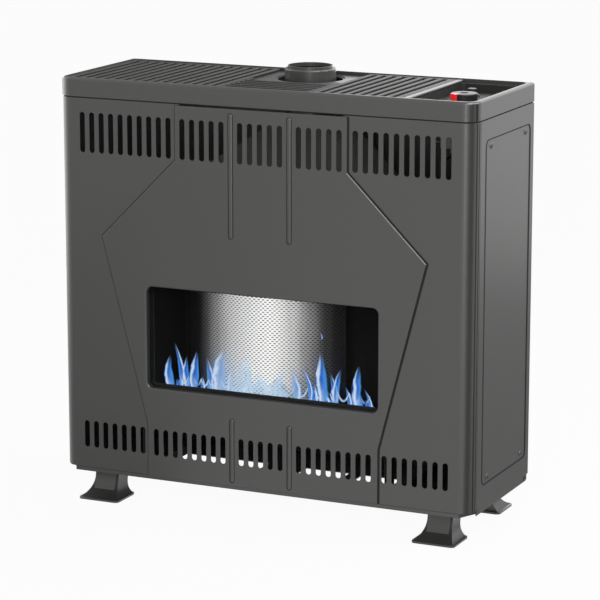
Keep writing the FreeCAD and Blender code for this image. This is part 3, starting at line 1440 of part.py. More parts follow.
# Supports inside
def firebox_support(sign):
    t = s.bracket_thick
    x = sign * (firebox_half - s.support_inset)
    low = base_z + s.frame_sheet
    reach = frame_half_d - s.frame_sheet
    plate = box(x - t / 2, -reach, low, x + t / 2, reach, firebox_lo)
    passage = box(x - t, -open_half_d + s.flange_wide, low + s.flange_wide, x + t,
                  open_half_d - s.flange_wide, firebox_lo - s.flange_wide / 3)
    return cut(plate, passage)


def heat_shield():
    low, high = base_z + s.shield_low, base_z + s.shield_high
    return box(-shield_half, shield_y, low, shield_half, shield_y + s.skin, high)


def shield_spacer(x, z):
    return rod("y", x, firebox_back, z, s.spacer_radius, s.shield_gap)


def build():
    wing = piece("front_wing_right", front_wing())
    piece("front_wing_left", mirrored(wing))
    piece("centre_panel", centre_panel())
    side = piece("side_panel_right", side_panel())
    piece("side_panel_left", mirrored(side))
    cover = piece("side_cover_right", side_cover())
    piece("side_cover_left", mirrored(cover))
    cover_face = inside_w + s.cover_thick
    piece("side_cover_screws", group(*[
        casing_screw("x", sign * cover_face, y, z, sign) for sign in (-1, 1) for y, z in cover_screws
    ]))
    piece("back_panel", back_panel())
    piece("back_screws", group(*[
        casing_screw("y", sign * (half_w - s.back_screw_inset), back, z, 1)
        for sign in (-1, 1) for z in back_screw_heights
    ]))

    piece("top_cap", top_cap())
    piece("top_grille_left", slat_grille("left"))
    piece("top_grille_right", slat_grille("right"))
    piece("top_grille_centre", centre_grille())
    piece("flue_plate", flue_plate())
    piece("control_tray", control_tray())
    piece("flue_collar", flue_collar())

    piece("base_frame", base_frame())
    for name, x, y, angle in (
        ("foot_front_left", -foot_x, -foot_y, 0), ("foot_front_right", foot_x, -foot_y, 0),
        ("foot_rear_left", -foot_x, foot_y, 180), ("foot_rear_right", foot_x, foot_y, 180),
    ):
        piece(name, foot(name, x, y, angle))
    piece("foot_screws", group(*[foot_screw(x, y) for x, y in foot_places]))

    piece("window_gasket", frame_ring("window_gasket", gasket_y, s.skin / 2, s.gasket_wide, s.gasket_thick))
    piece("window_glass", window_glass())
    piece("firebox_seal", frame_ring("firebox_seal", seal_y, -s.seal_inset, s.seal_outset, s.gasket_thick))
    piece("glass_clips", group(*[
        glass_clip(sign * s.clip_offset, upward) for sign in (-1, 1) for upward in (True, False)
    ]))

    piece("firebox", firebox())
    piece("flue_hood", flue_hood())
    screen, screen_end = radiant_screen()
    piece("radiant_screen", screen)
    stay_z = window_hi + s.screen_over - s.stay_high
    stay_x = s.screen_thick - s.screen_shift
    piece("screen_stays", group(*[
        box(x - s.stay_wide / 2, screen_end + s.fit_gap, stay_z, x + s.stay_wide / 2,
            firebox_back - s.bracket_thick, stay_z + s.stay_high)
        for x in (stay_x - s.screen_half, s.screen_half - stay_x - 2 * s.screen_shift)
    ]))
    piece("burner_tube", burner_tube())
    saddle_x = firebox_half - s.saddle_margin
    piece("burner_saddles", group(burner_saddle(-saddle_x), burner_saddle(saddle_x)))
    piece("injector_holder", injector_holder())
    piece("injector_bracket", holder_bracket())
    piece("injector", injector())
    piece("pilot_bracket", pilot_bracket())
    piece("pilot_burner", pilot_burner())
    piece("spark_electrode", spark_electrode())
    piece("thermocouple", thermocouple())
    piece("pilot_tube", pilot_tube())
    piece("ignition_lead", ignition_lead())
    piece("burner_pipe", burner_pipe())
    piece("supply_pipe", supply_pipe())
    piece("inlet_fitting", inlet_fitting())
    piece("inlet_bracket", inlet_bracket())
    piece("gas_valve", gas_valve())
    piece("valve_bracket", valve_bracket())
    piece("igniter_housing", igniter_housing())
    piece("igniter_nut", igniter_nut())
    piece("firebox_supports", group(firebox_support(-1), firebox_support(1)))
    piece("heat_shield", heat_shield())
    inset = s.spacer_inset
    piece("shield_spacers", group(*[
        shield_spacer(x, z)
        for x in (-firebox_half + inset, firebox_half - inset)
        for z in (firebox_lo + inset, firebox_hi - inset)
    ]))

    piece("control_knob", control_knob())
    piece("knob_pointer", knob_pointer())
    spindle_top = knob_low + s.spindle_in_knob
    piece("valve_spindle", rod("z", knob_x, s.knob_y, spindle_low + s.knob_lift, s.spindle_radius,
                               spindle_top - spindle_low - s.knob_lift))
    washer_z = knob_low + s.knob_hollow_deep - s.washer_thick
    piece("thrust_washer", cut(
        rod("z", knob_x, s.knob_y, washer_z, s.washer_radius, s.washer_thick),
        rod("z", knob_x, s.knob_y, washer_z - 1, s.spindle_radius + s.spindle_gap, s.washer_thick + 2),
    ))
    piece("knob_spring", sleeve(knob_x, s.knob_y, bore_floor, s.knob_spring_radius, s.knob_spring_wire,
                                washer_z - bore_floor))
    piece("igniter_button", igniter_button())
    spring_foot = button_low - s.button_spring_high
    piece("button_spring", sleeve(button_x, button_y, spring_foot, s.button_spring_radius,
                                  s.button_spring_wire, s.button_spring_high))


def check():
    """Stop if any feature failed or any sub-part is not a sound solid."""
    doc.recompute()
    for feature in doc.Objects:
        if {"Invalid", "Error"} & set(feature.State):
            raise RuntimeError(f"{feature.Name} ({feature.Label}) failed: {feature.State}")
    for feature in pieces:
        shape = feature.Shape
        if shape.isNull() or not shape.isValid() or not shape.Solids:
            raise RuntimeError(f"{feature.Label} is not a sound solid")


def write():
    os.makedirs("parts", exist_ok=True)
    for feature in pieces:
        feature.Shape.exportStep(f"parts/{feature.Label}.step")
        print(f"{feature.Label}: {len(feature.Shape.Solids)} solids, {feature.Shape.Volume / 1000:.1f} cm3")


build()
check()
write()
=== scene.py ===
import json
import math

import bmesh
import bpy
from bpy.props import FloatProperty, FloatVectorProperty, IntProperty, PointerProperty
from mathutils import Matrix, Vector


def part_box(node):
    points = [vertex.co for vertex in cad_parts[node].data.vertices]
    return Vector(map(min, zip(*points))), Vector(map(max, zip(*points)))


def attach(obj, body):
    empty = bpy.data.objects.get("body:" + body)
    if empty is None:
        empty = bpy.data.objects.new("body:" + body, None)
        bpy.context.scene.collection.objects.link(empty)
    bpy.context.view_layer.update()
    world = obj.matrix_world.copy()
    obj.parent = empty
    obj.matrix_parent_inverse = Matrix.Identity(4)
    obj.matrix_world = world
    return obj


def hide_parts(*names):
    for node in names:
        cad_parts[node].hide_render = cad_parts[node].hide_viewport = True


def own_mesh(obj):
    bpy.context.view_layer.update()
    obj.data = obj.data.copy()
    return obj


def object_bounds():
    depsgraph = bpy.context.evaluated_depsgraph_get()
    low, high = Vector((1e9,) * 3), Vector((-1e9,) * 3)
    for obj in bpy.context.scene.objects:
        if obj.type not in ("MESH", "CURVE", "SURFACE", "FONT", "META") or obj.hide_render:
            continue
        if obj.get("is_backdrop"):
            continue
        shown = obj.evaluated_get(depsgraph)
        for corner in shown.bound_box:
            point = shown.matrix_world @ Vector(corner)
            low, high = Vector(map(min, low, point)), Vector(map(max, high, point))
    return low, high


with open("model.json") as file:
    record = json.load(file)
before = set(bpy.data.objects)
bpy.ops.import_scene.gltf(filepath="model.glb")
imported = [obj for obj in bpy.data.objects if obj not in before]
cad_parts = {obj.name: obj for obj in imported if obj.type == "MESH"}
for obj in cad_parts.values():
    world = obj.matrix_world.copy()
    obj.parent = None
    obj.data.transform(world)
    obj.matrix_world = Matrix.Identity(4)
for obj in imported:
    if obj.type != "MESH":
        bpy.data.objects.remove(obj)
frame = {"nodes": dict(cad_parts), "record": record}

CAD_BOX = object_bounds()

bl_info = {
    "name": "Gas Heater Dressing",
    "version": (1, 0, 0),
    "blender": (4, 5, 0),
    "location": "View3D > Sidebar > Heater",
    "description": "Dresses the packed gas heater with finishes, fittings, flames and a studio",
    "category": "Object",
}

MM = 0.001

# Casing in mm; heights count from the underside of the base
CASING_HALF = 345
CASING_FRONT = -123
WING_ROLL = 22
CAP_ROLL = 24
COVER_ROLL = 9
SEAM_SUNK = 2.7
PANEL_BENDS = ((143, 509.5), (271, 382), (195, 91.5))
WINDOW_HALF = 194.5
WINDOW_SPAN = (148, 309)
WINDOW_ROLL = 10
SIDE_SLOTS = (-102.4, 103.5)

# Painted shadow lines in mm: panel joint by side, strip round a side cover, line inside the window
SEAM_WIDTHS = ((-1, 1.4), (1, 2.6))
COVER_STRIP = ((0.2, 0.2), (3.4, 1.8))
WINDOW_SHADE_GAPS = (0.45, 0.05)

# Painted dark lines upright round the front corner, in degrees from the side
WING_LINES = ((22.8, 27.4), (9.4, 11.4))
CAP_LINE = (27.2, 31.7)

# Beads of the front in mm: place, heights, play in the groove, half width, depth of the groove, rise
BEAD_X = 48.7
BEAD_SPANS = ((393.5, 587.5), (10.5, 113.3))
BEAD_GAP = 0.9
BEAD_HALF = 3.6
BEAD_SUNK = 1.5
BEAD_RISE = 2.1

# Radiant screen in m: bend, middle of the painted highlight and its reach; rows of holes against their pitch
SCREEN_BEND = 0.2
SCREEN_MIDDLE = -0.026
SCREEN_REACH = 0.125
ROW_STEP = 0.866

# Slat run into its plain end, in m
SLAT_TUCK = 2 * MM

# Screw heads in mm
SCREW_RADIUS = 4.6
SCREW_DOME = 1.9
SCREW_SUNK = 2

# Return springs: node, joint, travel and wire radius in mm
SPRINGS = (("knob_spring", "knob_press", 4, 0.6), ("button_spring", "igniter_press", 6, 0.45))


# Node trees
class Wire:
    """An output socket that takes part in arithmetic."""

    def __init__(self, net, socket):
        self.net = net
        self.socket = socket

    def _math(self, operation, left, right):
        return self.net.node("ShaderNodeMath", {"operation": operation}, {0: left, 1: right}).out()

    def __add__(self, other):
        return self._math("ADD", self, other)

    __radd__ = __add__

    def __sub__(self, other):
        return self._math("SUBTRACT", self, other)

    def __rsub__(self, other):
        return self._math("SUBTRACT", other, self)

    def __mul__(self, other):
        return self._math("MULTIPLY", self, other)

    def __truediv__(self, other):
        return self._math("DIVIDE", self, other)

    def __mod__(self, other):
        return self._math("FLOORED_MODULO", self, other)

    def absolute(self):
        return self._math("ABSOLUTE", self, 0.0)

    def larger(self, other):
        return self._math("MAXIMUM", self, other)

    def sine(self):
        return self._math("SINE", self, 0.0)

    def cosine(self):
        return self._math("COSINE", self, 0.0)


class Made:
    """A node just added; out() wraps one of its outputs."""

    def __init__(self, net, node):
        self.net = net
        self.node = node

    def out(self, name=0):
        return Wire(self.net, self.node.outputs[name])


class Net:
    """A shader or geometry tree under construction."""

    def __init__(self, tree):
        self.tree = tree

    def node(self, kind, settings=None, inputs=None):
        node = self.tree.nodes.new(kind)
        for name, value in (settings or {}).items():
            setattr(node, name, value)
        for name, value in (inputs or {}).items():
            if isinstance(value, Wire):
                self.tree.links.new(value.socket, node.inputs[name])
            else:
                node.inputs[name].default_value = value
        return Made(self, node)

    def blend(self, factor, first, second):
        """Mix two colours."""
        made = self.node("ShaderNodeMix", {"data_type": "RGBA"}, {0: factor, 6: first, 7: second})
        return made.out(2)


def opaque(color):
    """A colour with full alpha."""
    return (color[0], color[1], color[2], 1.0)


def new_shader(name):
    """The net of an empty material, and a call that adds its last shader and returns the material."""
    material = bpy.data.materials.new(name)
    material.use_nodes = True
    material.node_tree.nodes.clear()
    net = Net(material.node_tree)
    output = net.node("ShaderNodeOutputMaterial").node

    def close(kind, inputs):
        shader = net.node(kind, None, inputs).out()
        net.tree.links.new(shader.socket, output.inputs[0])
        return material

    return net, close


def ramp(net, value, low, high):
    """Smooth step from 0 at low to 1 at high."""
    kind = {"interpolation_type": "SMOOTHSTEP"}
    return net.node("ShaderNodeMapRange", kind, {0: value, 1: low, 2: high, 3: 0.0, 4: 1.0}).out()


def object_place(net):
    """The place on the object itself."""
    return net.node("ShaderNodeTexCoord").out("Object")


def along(net, place, axis):
    """One axis of a place."""
    return net.node("ShaderNodeSeparateXYZ", None, {0: place}).out(axis)


def stretch(net, place, scale):
    """A place scaled by axis, for grain that runs one way."""
    return net.node("ShaderNodeMapping", None, {"Vector": place, "Scale": scale}).out()


def noise(net, place, detail, scale=1.0, distortion=0.0):
    """Soft noise around one half."""
    inputs = {"Vector": place, "Scale": scale, "Detail": detail, "Distortion": distortion}
    return net.node("ShaderNodeTexNoise", None, inputs).out(0)


def surface_finish(name, light, dark, roughness, metallic=0.0, grain=(900, 900, 900), bump=0.05, cloud=14.0,
                   coat=0.0, specular=0.5, glow=0.0):
    """A finish with fine grain, slow clouding and matching roughness; glow gives it a painted glow of its
    light colour.
    """
    spread = 0.12
    net, close = new_shader(name)
    place = object_place(net)
    fine = noise(net, stretch(net, place, grain), 3.0)
    slow = noise(net, place, 4.0, cloud)
    mix = fine * 0.5 + slow * 0.5
    normal = net.node("ShaderNodeBump", None, {"Height": fine, "Strength": bump, "Distance": 0.0004}).out()
    return close("ShaderNodeBsdfPrincipled", {
        "Base Color": net.blend(mix, opaque(dark), opaque(light)), "Normal": normal, "Metallic": metallic,
        "Roughness": roughness + (mix - 0.5) * spread, "Coat Weight": coat, "Coat Roughness": 0.25,
        "Specular IOR Level": specular, "Emission Color": opaque(light), "Emission Strength": glow,
    })


def slat_shade_finish(name, light, dark, roughness, top):
    """Paint on the top of a slat, with painted shade that darkens it down its sides."""
    net, close = new_shader(name)
    place = object_place(net)
    # Painted shade: below the top the colour goes to the dark one.
    upper = ramp(net, along(net, place, "Z"), top - 1.6 * MM, top - 0.5 * MM)
    grain = noise(net, place, 3.0, 300.0)
    return close("ShaderNodeBsdfPrincipled", {
        "Base Color": net.blend(upper, opaque(dark), opaque(light)), "Specular IOR Level": 0.35,
        "Roughness": roughness + (1.0 - upper) * 0.5 + (grain - 0.5) * 0.08,
    })


def screen_highlight_finish(name, light, dark, roughness):
    """Bare steel with a painted highlight: pale and glowing in the middle of the screen, darkened away from
    it by painted shade.
    """
    net, close = new_shader(name)
    place = object_place(net)
    streak = noise(net, stretch(net, place, (60, 60, 6)), 4.0)
    away = (along(net, place, "X") - SCREEN_MIDDLE).absolute() / SCREEN_REACH + (streak - 0.5) * 0.2
    # Painted shade: the steel darkens away from the middle.
    highlight_falloff = ramp(net, away, 0.12, 0.92)
    return close("ShaderNodeBsdfPrincipled", {
        "Base Color": net.blend(highlight_falloff, opaque(light), opaque(dark)), "Roughness": roughness + streak * 0.15,
        # The emission in the middle is a painted highlight: a glow though the screen is no lamp.
        "Metallic": 1.0 - highlight_falloff * 0.8, "Emission Strength": 0.36,
        "Emission Color": net.blend(highlight_falloff, (0.9, 0.92, 0.95, 1.0), (0.0, 0.0, 0.0, 1.0)),
    })


def clear_glass(name):
    """Thin glass that lets the burner show, with a faint smear."""
    net, close = new_shader(name)
    smear = noise(net, object_place(net), 5.0, 18.0)
    return close("ShaderNodeBsdfPrincipled", {
        "Base Color": (0.01, 0.01, 0.01, 1.0), "Roughness": 0.03 + smear * 0.08,
        "Alpha": 0.06 + smear * 0.04, "Specular IOR Level": 0.04,
    })


def flame_glow(name):
    """Blue tongues, pale along one flank and at the root, thinner before the bright middle of the screen."""
    net, close = new_shader(name)
    places = net.node("ShaderNodeTexCoord")
    across = along(net, places.out("UV"), "X")
    rise = along(net, places.out("UV"), "Y")
    flicker = noise(net, stretch(net, places.out("Object"), (90, 40, 38)), 2.0, distortion=0.6)
    offset = across + (flicker - 0.5) * 1.2
    side = offset.absolute()
    wide = along(net, places.out("Object"), "X")
    outer = ramp(net, (wide + 0.02).absolute(), 0.025, 0.095)
    flank = ramp(net, offset, 0.0, 0.45) * (1.0 - ramp(net, offset, 0.5, 0.85))
    root = (1.0 - ramp(net, rise, 0.05, 0.55)) * (1.0 - ramp(net, side, 0.0, 0.7))
    pale = flank.larger(root * 0.6)
    body = net.blend(ramp(net, offset, -0.9, 0.0), (0.09, 0.40, 0.98, 1.0), (0.008, 0.12, 0.62, 1.0))
    body = net.blend(outer, (0.50, 0.74, 1.0, 1.0), body)
    color = net.blend(pale, body, (0.66, 0.84, 1.0, 1.0))
    edge = 1.0 - ramp(net, side, 0.6, 1.02)
    tip = 1.0 - ramp(net, rise, 0.55, 1.0)
    foot = ramp(net, rise, 0.0, 0.10)
    thick = 0.20 + outer * 0.48 + pale * 0.26
    return close("ShaderNodeBsdfPrincipled", {
        "Base Color": (0, 0, 0, 1), "Emission Color": color, "Emission Strength": 1.0, "Roughness": 1.0,
        "Specular IOR Level": 0.0, "Alpha": edge * tip * foot * thick,
    })


# Pieces
def add_piece(name, mesh, body, slot, *nodes):
    """A piece that rides a body in place of the named nodes; the slot argument is not used."""
    piece = bpy.data.objects.new(name, mesh)
    bpy.context.scene.collection.objects.link(piece)
    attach(piece, body)
    if nodes:
        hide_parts(*nodes)
    return piece


def mesh_from(bm, name, material):
    """The finished mesh of a build, with its faces turned outward."""
    mesh = bpy.data.meshes.new(name)
    bmesh.ops.recalc_face_normals(bm, faces=bm.faces)
    bm.to_mesh(mesh)
    bm.free()
    mesh.materials.append(material)
    return mesh


def grown(tree, name, values):
    """Evaluate a geometry tree with its named inputs set, as a plain mesh."""
    holder = bpy.data.objects.new(name + "_grower", bpy.data.meshes.new(name + "_seed"))
    bpy.context.scene.collection.objects.link(holder)
    modifier = holder.modifiers.new("Grow", "NODES")
    modifier.node_group = tree
    for item in tree.interface.items_tree:
        if item.item_type == "SOCKET" and item.in_out == "INPUT" and item.name in values:
            modifier[item.identifier] = values[item.name]
    graph = bpy.context.evaluated_depsgraph_get()
    mesh = bpy.data.meshes.new_from_object(holder.evaluated_get(graph))
    mesh.name = name
    bpy.data.objects.remove(holder)
    return mesh


def geometry_tree(name, inputs):
    """A geometry tree with named inputs; returns the net, its inputs and a closing call."""
    tree = bpy.data.node_groups.new(name, "GeometryNodeTree")
    for label, kind in inputs:
        tree.interface.new_socket(label, in_out="INPUT", socket_type=kind)
    tree.interface.new_socket("Geometry", in_out="OUTPUT", socket_type="NodeSocketGeometry")
    net = Net(tree)
    entry = net.node("NodeGroupInput")
    exit_node = net.node("NodeGroupOutput").node

    def close(shape, material=None):
        shape = net.node("GeometryNodeRealizeInstances", None, {0: shape}).out()
        if material:
            shape = net.node("GeometryNodeSetMaterial", None, {0: shape, "Material": material}).out()
        tree.links.new(shape.socket, exit_node.inputs[0])
        return tree

    return net, entry, close


def vector(net, x, y, z):
    """Three values as one vector."""
    return net.node("ShaderNodeCombineXYZ", None, {0: x, 1: y, 2: z}).out()


def slat_tree(material):
    """Rounded bars side by side along X, each running along Y."""
    net, entry, close = geometry_tree("Slats", (
        ("Count", "NodeSocketInt"), ("Pitch", "NodeSocketFloat"), ("Width", "NodeSocketFloat"),
        ("Height", "NodeSocketFloat"), ("Rounding", "NodeSocketFloat"), ("Start", "NodeSocketVector"),
        ("Length", "NodeSocketFloat"),
    ))
    outline = net.node("GeometryNodeCurvePrimitiveQuadrilateral", None,
                       {"Width": entry.out("Width"), "Height": entry.out("Height")}).out()
    outline = net.node("GeometryNodeFilletCurve", {"mode": "POLY"},
                       {"Curve": outline, "Count": 5, "Radius": entry.out("Rounding")}).out()
    run = net.node("GeometryNodeCurvePrimitiveLine", None,
                   {"Start": (0, 0, 0), "End": vector(net, 0.0, entry.out("Length"), 0.0)}).out()
    bar = net.node("GeometryNodeCurveToMesh", None,
                   {"Curve": run, "Profile Curve": outline, "Fill Caps": True}).out()
    places = net.node("GeometryNodeMeshLine", None, {
        "Count": entry.out("Count"), "Start Location": entry.out("Start"),
        "Offset": vector(net, entry.out("Pitch"), 0.0, 0.0),
    }).out()
    laid = net.node("GeometryNodeInstanceOnPoints", None, {"Points": places, "Instance": bar}).out()
    return close(laid, material)


def hole_shade_tree(material):
    """Staggered round dark discs wrapped on the front of a curved sheet, painted shade where its holes are.
    """
    net, entry, close = geometry_tree("Hole shades", (
        ("Columns", "NodeSocketInt"), ("Rows", "NodeSocketInt"), ("Pitch", "NodeSocketFloat"),
        ("Hole", "NodeSocketFloat"), ("Bend", "NodeSocketFloat"), ("Axis", "NodeSocketVector"),
    ))
    pitch = entry.out("Pitch")
    bend = entry.out("Bend")
    grid = net.node("GeometryNodeMeshGrid", None, {
        "Vertices X": entry.out("Columns"), "Vertices Y": entry.out("Rows"),
        "Size X": pitch * (entry.out("Columns") - 1.0),
        "Size Y": pitch * ROW_STEP * (entry.out("Rows") - 1.0),
    }).out("Mesh")
    flat = net.node("ShaderNodeSeparateXYZ", None, {0: net.node("GeometryNodeInputPosition").out()})
    number = net.node("GeometryNodeInputIndex").out()
    angle = (flat.out("X") + (number % 2.0) * pitch * 0.5) / bend
    moved = vector(net, angle.sine() * bend, angle.cosine() * bend * -1.0, flat.out("Y"))
    moved = net.node("ShaderNodeVectorMath", {"operation": "ADD"}, {0: moved, 1: entry.out("Axis")}).out()
    turned = net.node("GeometryNodeStoreNamedAttribute", {"data_type": "FLOAT", "domain": "POINT"},
                      {"Geometry": grid, "Name": "turn", "Value": angle}).out()
    wrapped = net.node("GeometryNodeSetPosition", None, {"Geometry": turned, "Position": moved}).out()
    disc = net.node("GeometryNodeMeshCircle", {"fill_type": "NGON"},
                    {"Vertices": 8, "Radius": entry.out("Hole")}).out()
    turn = net.node("GeometryNodeInputNamedAttribute", {"data_type": "FLOAT"}, {"Name": "turn"}).out()
    facing = vector(net, math.pi / 2, 0.0, turn)
    holes = {"Points": wrapped, "Instance": disc, "Rotation": facing}
    return close(net.node("GeometryNodeInstanceOnPoints", None, holes).out(), material)


def screw_tree(material, recess_shade):
    """Domed cross-head screws at the corners of a grid in Y and Z, heads along +X."""
    net, entry, close = geometry_tree("Screws", (
        ("Columns", "NodeSocketInt"), ("Rows", "NodeSocketInt"), ("Size Y", "NodeSocketFloat"),
        ("Size Z", "NodeSocketFloat"), ("Middle", "NodeSocketVector"), ("Turn", "NodeSocketVector"),
        ("Radius", "NodeSocketFloat"), ("Dome", "NodeSocketFloat"),
    ))
    ball = net.node("GeometryNodeMeshUVSphere", None,
                    {"Segments": 28, "Rings": 14, "Radius": 1.0}).out("Mesh")
    scale = vector(net, entry.out("Dome"), entry.out("Radius"), entry.out("Radius"))
    head = net.node("GeometryNodeTransform", None, {"Geometry": ball, "Scale": scale}).out()
    head = net.node("GeometryNodeSetShadeSmooth", None, {"Geometry": head}).out()
    head = net.node("GeometryNodeSetMaterial", None, {"Geometry": head, "Material": material}).out()
    parts = [head]
    # The cross is painted shade: two dark bars in the dome.
    for wide, high in ((1.15, 0.24), (0.24, 1.15)):
        size = vector(net, entry.out("Dome") * 0.5, entry.out("Radius") * wide, entry.out("Radius") * high)
        bar = net.node("GeometryNodeMeshCube", None, {"Size": size}).out("Mesh")
        shift = vector(net, entry.out("Dome") * 0.74, 0.0, 0.0)
        bar = net.node("GeometryNodeTransform", None, {"Geometry": bar, "Translation": shift}).out()
        parts.append(net.node("GeometryNodeSetMaterial", None, {"Geometry": bar, "Material": recess_shade}).out())
    joined = net.node("GeometryNodeJoinGeometry")
    for part in reversed(parts):
        net.tree.links.new(part.socket, joined.node.inputs[0])
    grid = net.node("GeometryNodeMeshGrid", None, {
        "Vertices X": entry.out("Columns"), "Vertices Y": entry.out("Rows"),
        "Size X": entry.out("Size Z"), "Size Y": entry.out("Size Y"),
    }).out("Mesh")
    upright = net.node("GeometryNodeTransform", None,
                       {"Geometry": grid, "Rotation": (0, -math.pi / 2, 0)}).out()
    turned = net.node("GeometryNodeTransform", None, {
        "Geometry": upright, "Rotation": entry.out("Turn"), "Translation": entry.out("Middle"),
    }).out()
    screws = net.node("GeometryNodeInstanceOnPoints", None, {
        "Points": turned, "Instance": joined.out(), "Rotation": entry.out("Turn"),
    }).out()
    return close(screws)


def spring_tree(material):
    """A coil of round wire that rises from its foot."""
    net, entry, close = geometry_tree("Coil spring", (
        ("Turns", "NodeSocketFloat"), ("Radius", "NodeSocketFloat"), ("Height", "NodeSocketFloat"),
        ("Wire", "NodeSocketFloat"), ("Foot", "NodeSocketVector"),
    ))
    helix = net.node("GeometryNodeCurveSpiral", None, {
        "Resolution": 24, "Rotations": entry.out("Turns"), "Start Radius": entry.out("Radius"),
        "End Radius": entry.out("Radius"), "Height": entry.out("Height"),
    }).out()
    section = net.node("GeometryNodeCurvePrimitiveCircle", None,
                       {"Resolution": 8, "Radius": entry.out("Wire")}).out()
    wound = net.node("GeometryNodeCurveToMesh", None,
                     {"Curve": helix, "Profile Curve": section, "Fill Caps": True}).out()
    set_down = {"Geometry": wound, "Translation": entry.out("Foot")}
    return close(net.node("GeometryNodeTransform", None, set_down).out(), material)


def rounded_box(bm, low, high, radius):
    """A box between two corners with its edges rounded."""
    made = bmesh.ops.create_cube(bm, size=1.0)
    middle = (Vector(low) + Vector(high)) / 2
    size = Vector(high) - Vector(low)
    for vert in made["verts"]:
        vert.co = Vector(vert.co[i] * size[i] + middle[i] for i in range(3))
    edges = list({edge for vert in made["verts"] for edge in vert.link_edges})
    bmesh.ops.bevel(bm, geom=edges, offset=radius, segments=3, profile=0.5, affect="EDGES")


# Sizes and colours that a user may change
class HeaterFinish(bpy.types.PropertyGroup):
    """Colours and finishes of the heater."""

    paint: FloatVectorProperty(name="Paint", description="Charcoal paint of the casing", subtype="COLOR",
                               default=(0.046, 0.046, 0.044))
    paint_rough: FloatProperty(name="Paint roughness", description="Sheen of the casing", default=0.34,
                               min=0, max=1)
    pointer: FloatVectorProperty(name="Pointer", description="Red of the knob's pointer", subtype="COLOR",
                                 default=(0.95, 0.025, 0.035))


class HeaterSizes(bpy.types.PropertyGroup):
    """Sizes of the dressed pieces."""

    hole_pitch: FloatProperty(name="Hole pitch", description="Hole to hole on the screen", unit="LENGTH",
                              default=3.7 * MM)
    hole_radius: FloatProperty(name="Hole", description="Radius of a hole in the screen", unit="LENGTH",
                               default=0.92 * MM)
    slat_pitch: FloatProperty(name="Slat pitch", description="Top slat to top slat", unit="LENGTH",
                              default=16.7 * MM)
    slat_width: FloatProperty(name="Slat width", description="Width of a top slat", unit="LENGTH",
                              default=8.0 * MM)
    slat_round: FloatProperty(name="Slat rounding", description="Rounding of a slat", unit="LENGTH",
                              default=1.4 * MM)
    slat_end: FloatProperty(name="Slat end", description="Plain end beside the slats", unit="LENGTH",
                            default=10.0 * MM)
    back_rows: IntProperty(name="Back screws", description="Screws up each side of the back", default=3,
                           min=2)


finishes = {}

# Finishes that no user changes: slot, name, light and dark colour, roughness and what else differs
PLAIN_FINISHES = (
    # A darker copy of the casing paint, as painted shade on pieces that lie in shadow.
    ("painted_shade_coat", "Paint darkened as painted shade", (0.030, 0.030, 0.029), (0.020, 0.020, 0.019), 0.5, {"specular": 0.3}),
    ("flue_paint", "Collar enamel", (0.070, 0.070, 0.068), (0.050, 0.050, 0.048), 0.3, {"specular": 0.8}),
    ("feet", "Foot coat", (0.036, 0.036, 0.034), (0.024, 0.024, 0.023), 0.32, {"specular": 0.7}),
    ("black_plastic", "Black moulding", (0.018, 0.018, 0.017), (0.011, 0.011, 0.011), 0.38, {}),
    ("rope_seal", "Rope seal", (0.016, 0.016, 0.015), (0.008, 0.008, 0.008), 0.95,
     {"grain": (700, 700, 260), "bump": 0.5}),
    ("heat_steel", "Sooted steel", (0.018, 0.017, 0.016), (0.010, 0.010, 0.009), 0.9,
     {"bump": 0.03, "specular": 0.2}),
    # A dark grey for the hood, as painted shade inside the casing seen through the slots.
    ("hood_shade_steel", "Hood sheet darkened as painted shade", (0.075, 0.075, 0.072), (0.045, 0.045, 0.043), 0.6,
     {"metallic": 0.2, "grain": (400, 400, 400)}),
    ("bright_steel", "Bare stainless", (0.66, 0.65, 0.63), (0.50, 0.49, 0.47), 0.32,
     {"metallic": 1.0, "grain": (60, 60, 1500)}),
    ("zinc_screws", "Dark screws", (0.14, 0.14, 0.135), (0.08, 0.08, 0.078), 0.45, {"metallic": 0.5}),
    ("plated_steel", "Plated sheet", (0.5, 0.5, 0.49), (0.36, 0.36, 0.35), 0.4,
     {"metallic": 1.0, "grain": (1200, 80, 80)}),
    ("brass_parts", "Brass", (0.72, 0.53, 0.24), (0.55, 0.38, 0.15), 0.3, {"metallic": 1.0}),
    ("copper_lines", "Aged copper", (0.30, 0.15, 0.10), (0.14, 0.07, 0.05), 0.45, {"metallic": 1.0}),
    ("die_cast", "Die casting", (0.2, 0.2, 0.2), (0.14, 0.14, 0.14), 0.5, {"metallic": 0.6, "bump": 0.2}),
    ("ceramic", "Ceramic", (0.85, 0.83, 0.77), (0.75, 0.72, 0.65), 0.25, {"coat": 0.4}),
    ("lead_cover", "Lead cover", (0.06, 0.055, 0.055), (0.035, 0.03, 0.03), 0.6, {}),
    # Near-black as painted shade: the holes of the screen, the crosses of the screws and the shadow lines of
    # the joints.
    ("painted_shade_black", "Black painted shade", (0.010, 0.010, 0.010), (0.004, 0.004, 0.004), 0.9, {}),
)

# Nodes whose finish is not the one of their slot; the darker paint and the dark hood sheet among them are
# painted shade
OWN_FINISH = {
    "flue_hood": "hood_shade_steel", "top_grille_centre": "painted_shade_coat", "control_tray": "painted_shade_coat",
    "valve_bracket": "painted_shade_coat", "igniter_nut": "zinc_screws", "radiant_screen": "screen_steel",
}


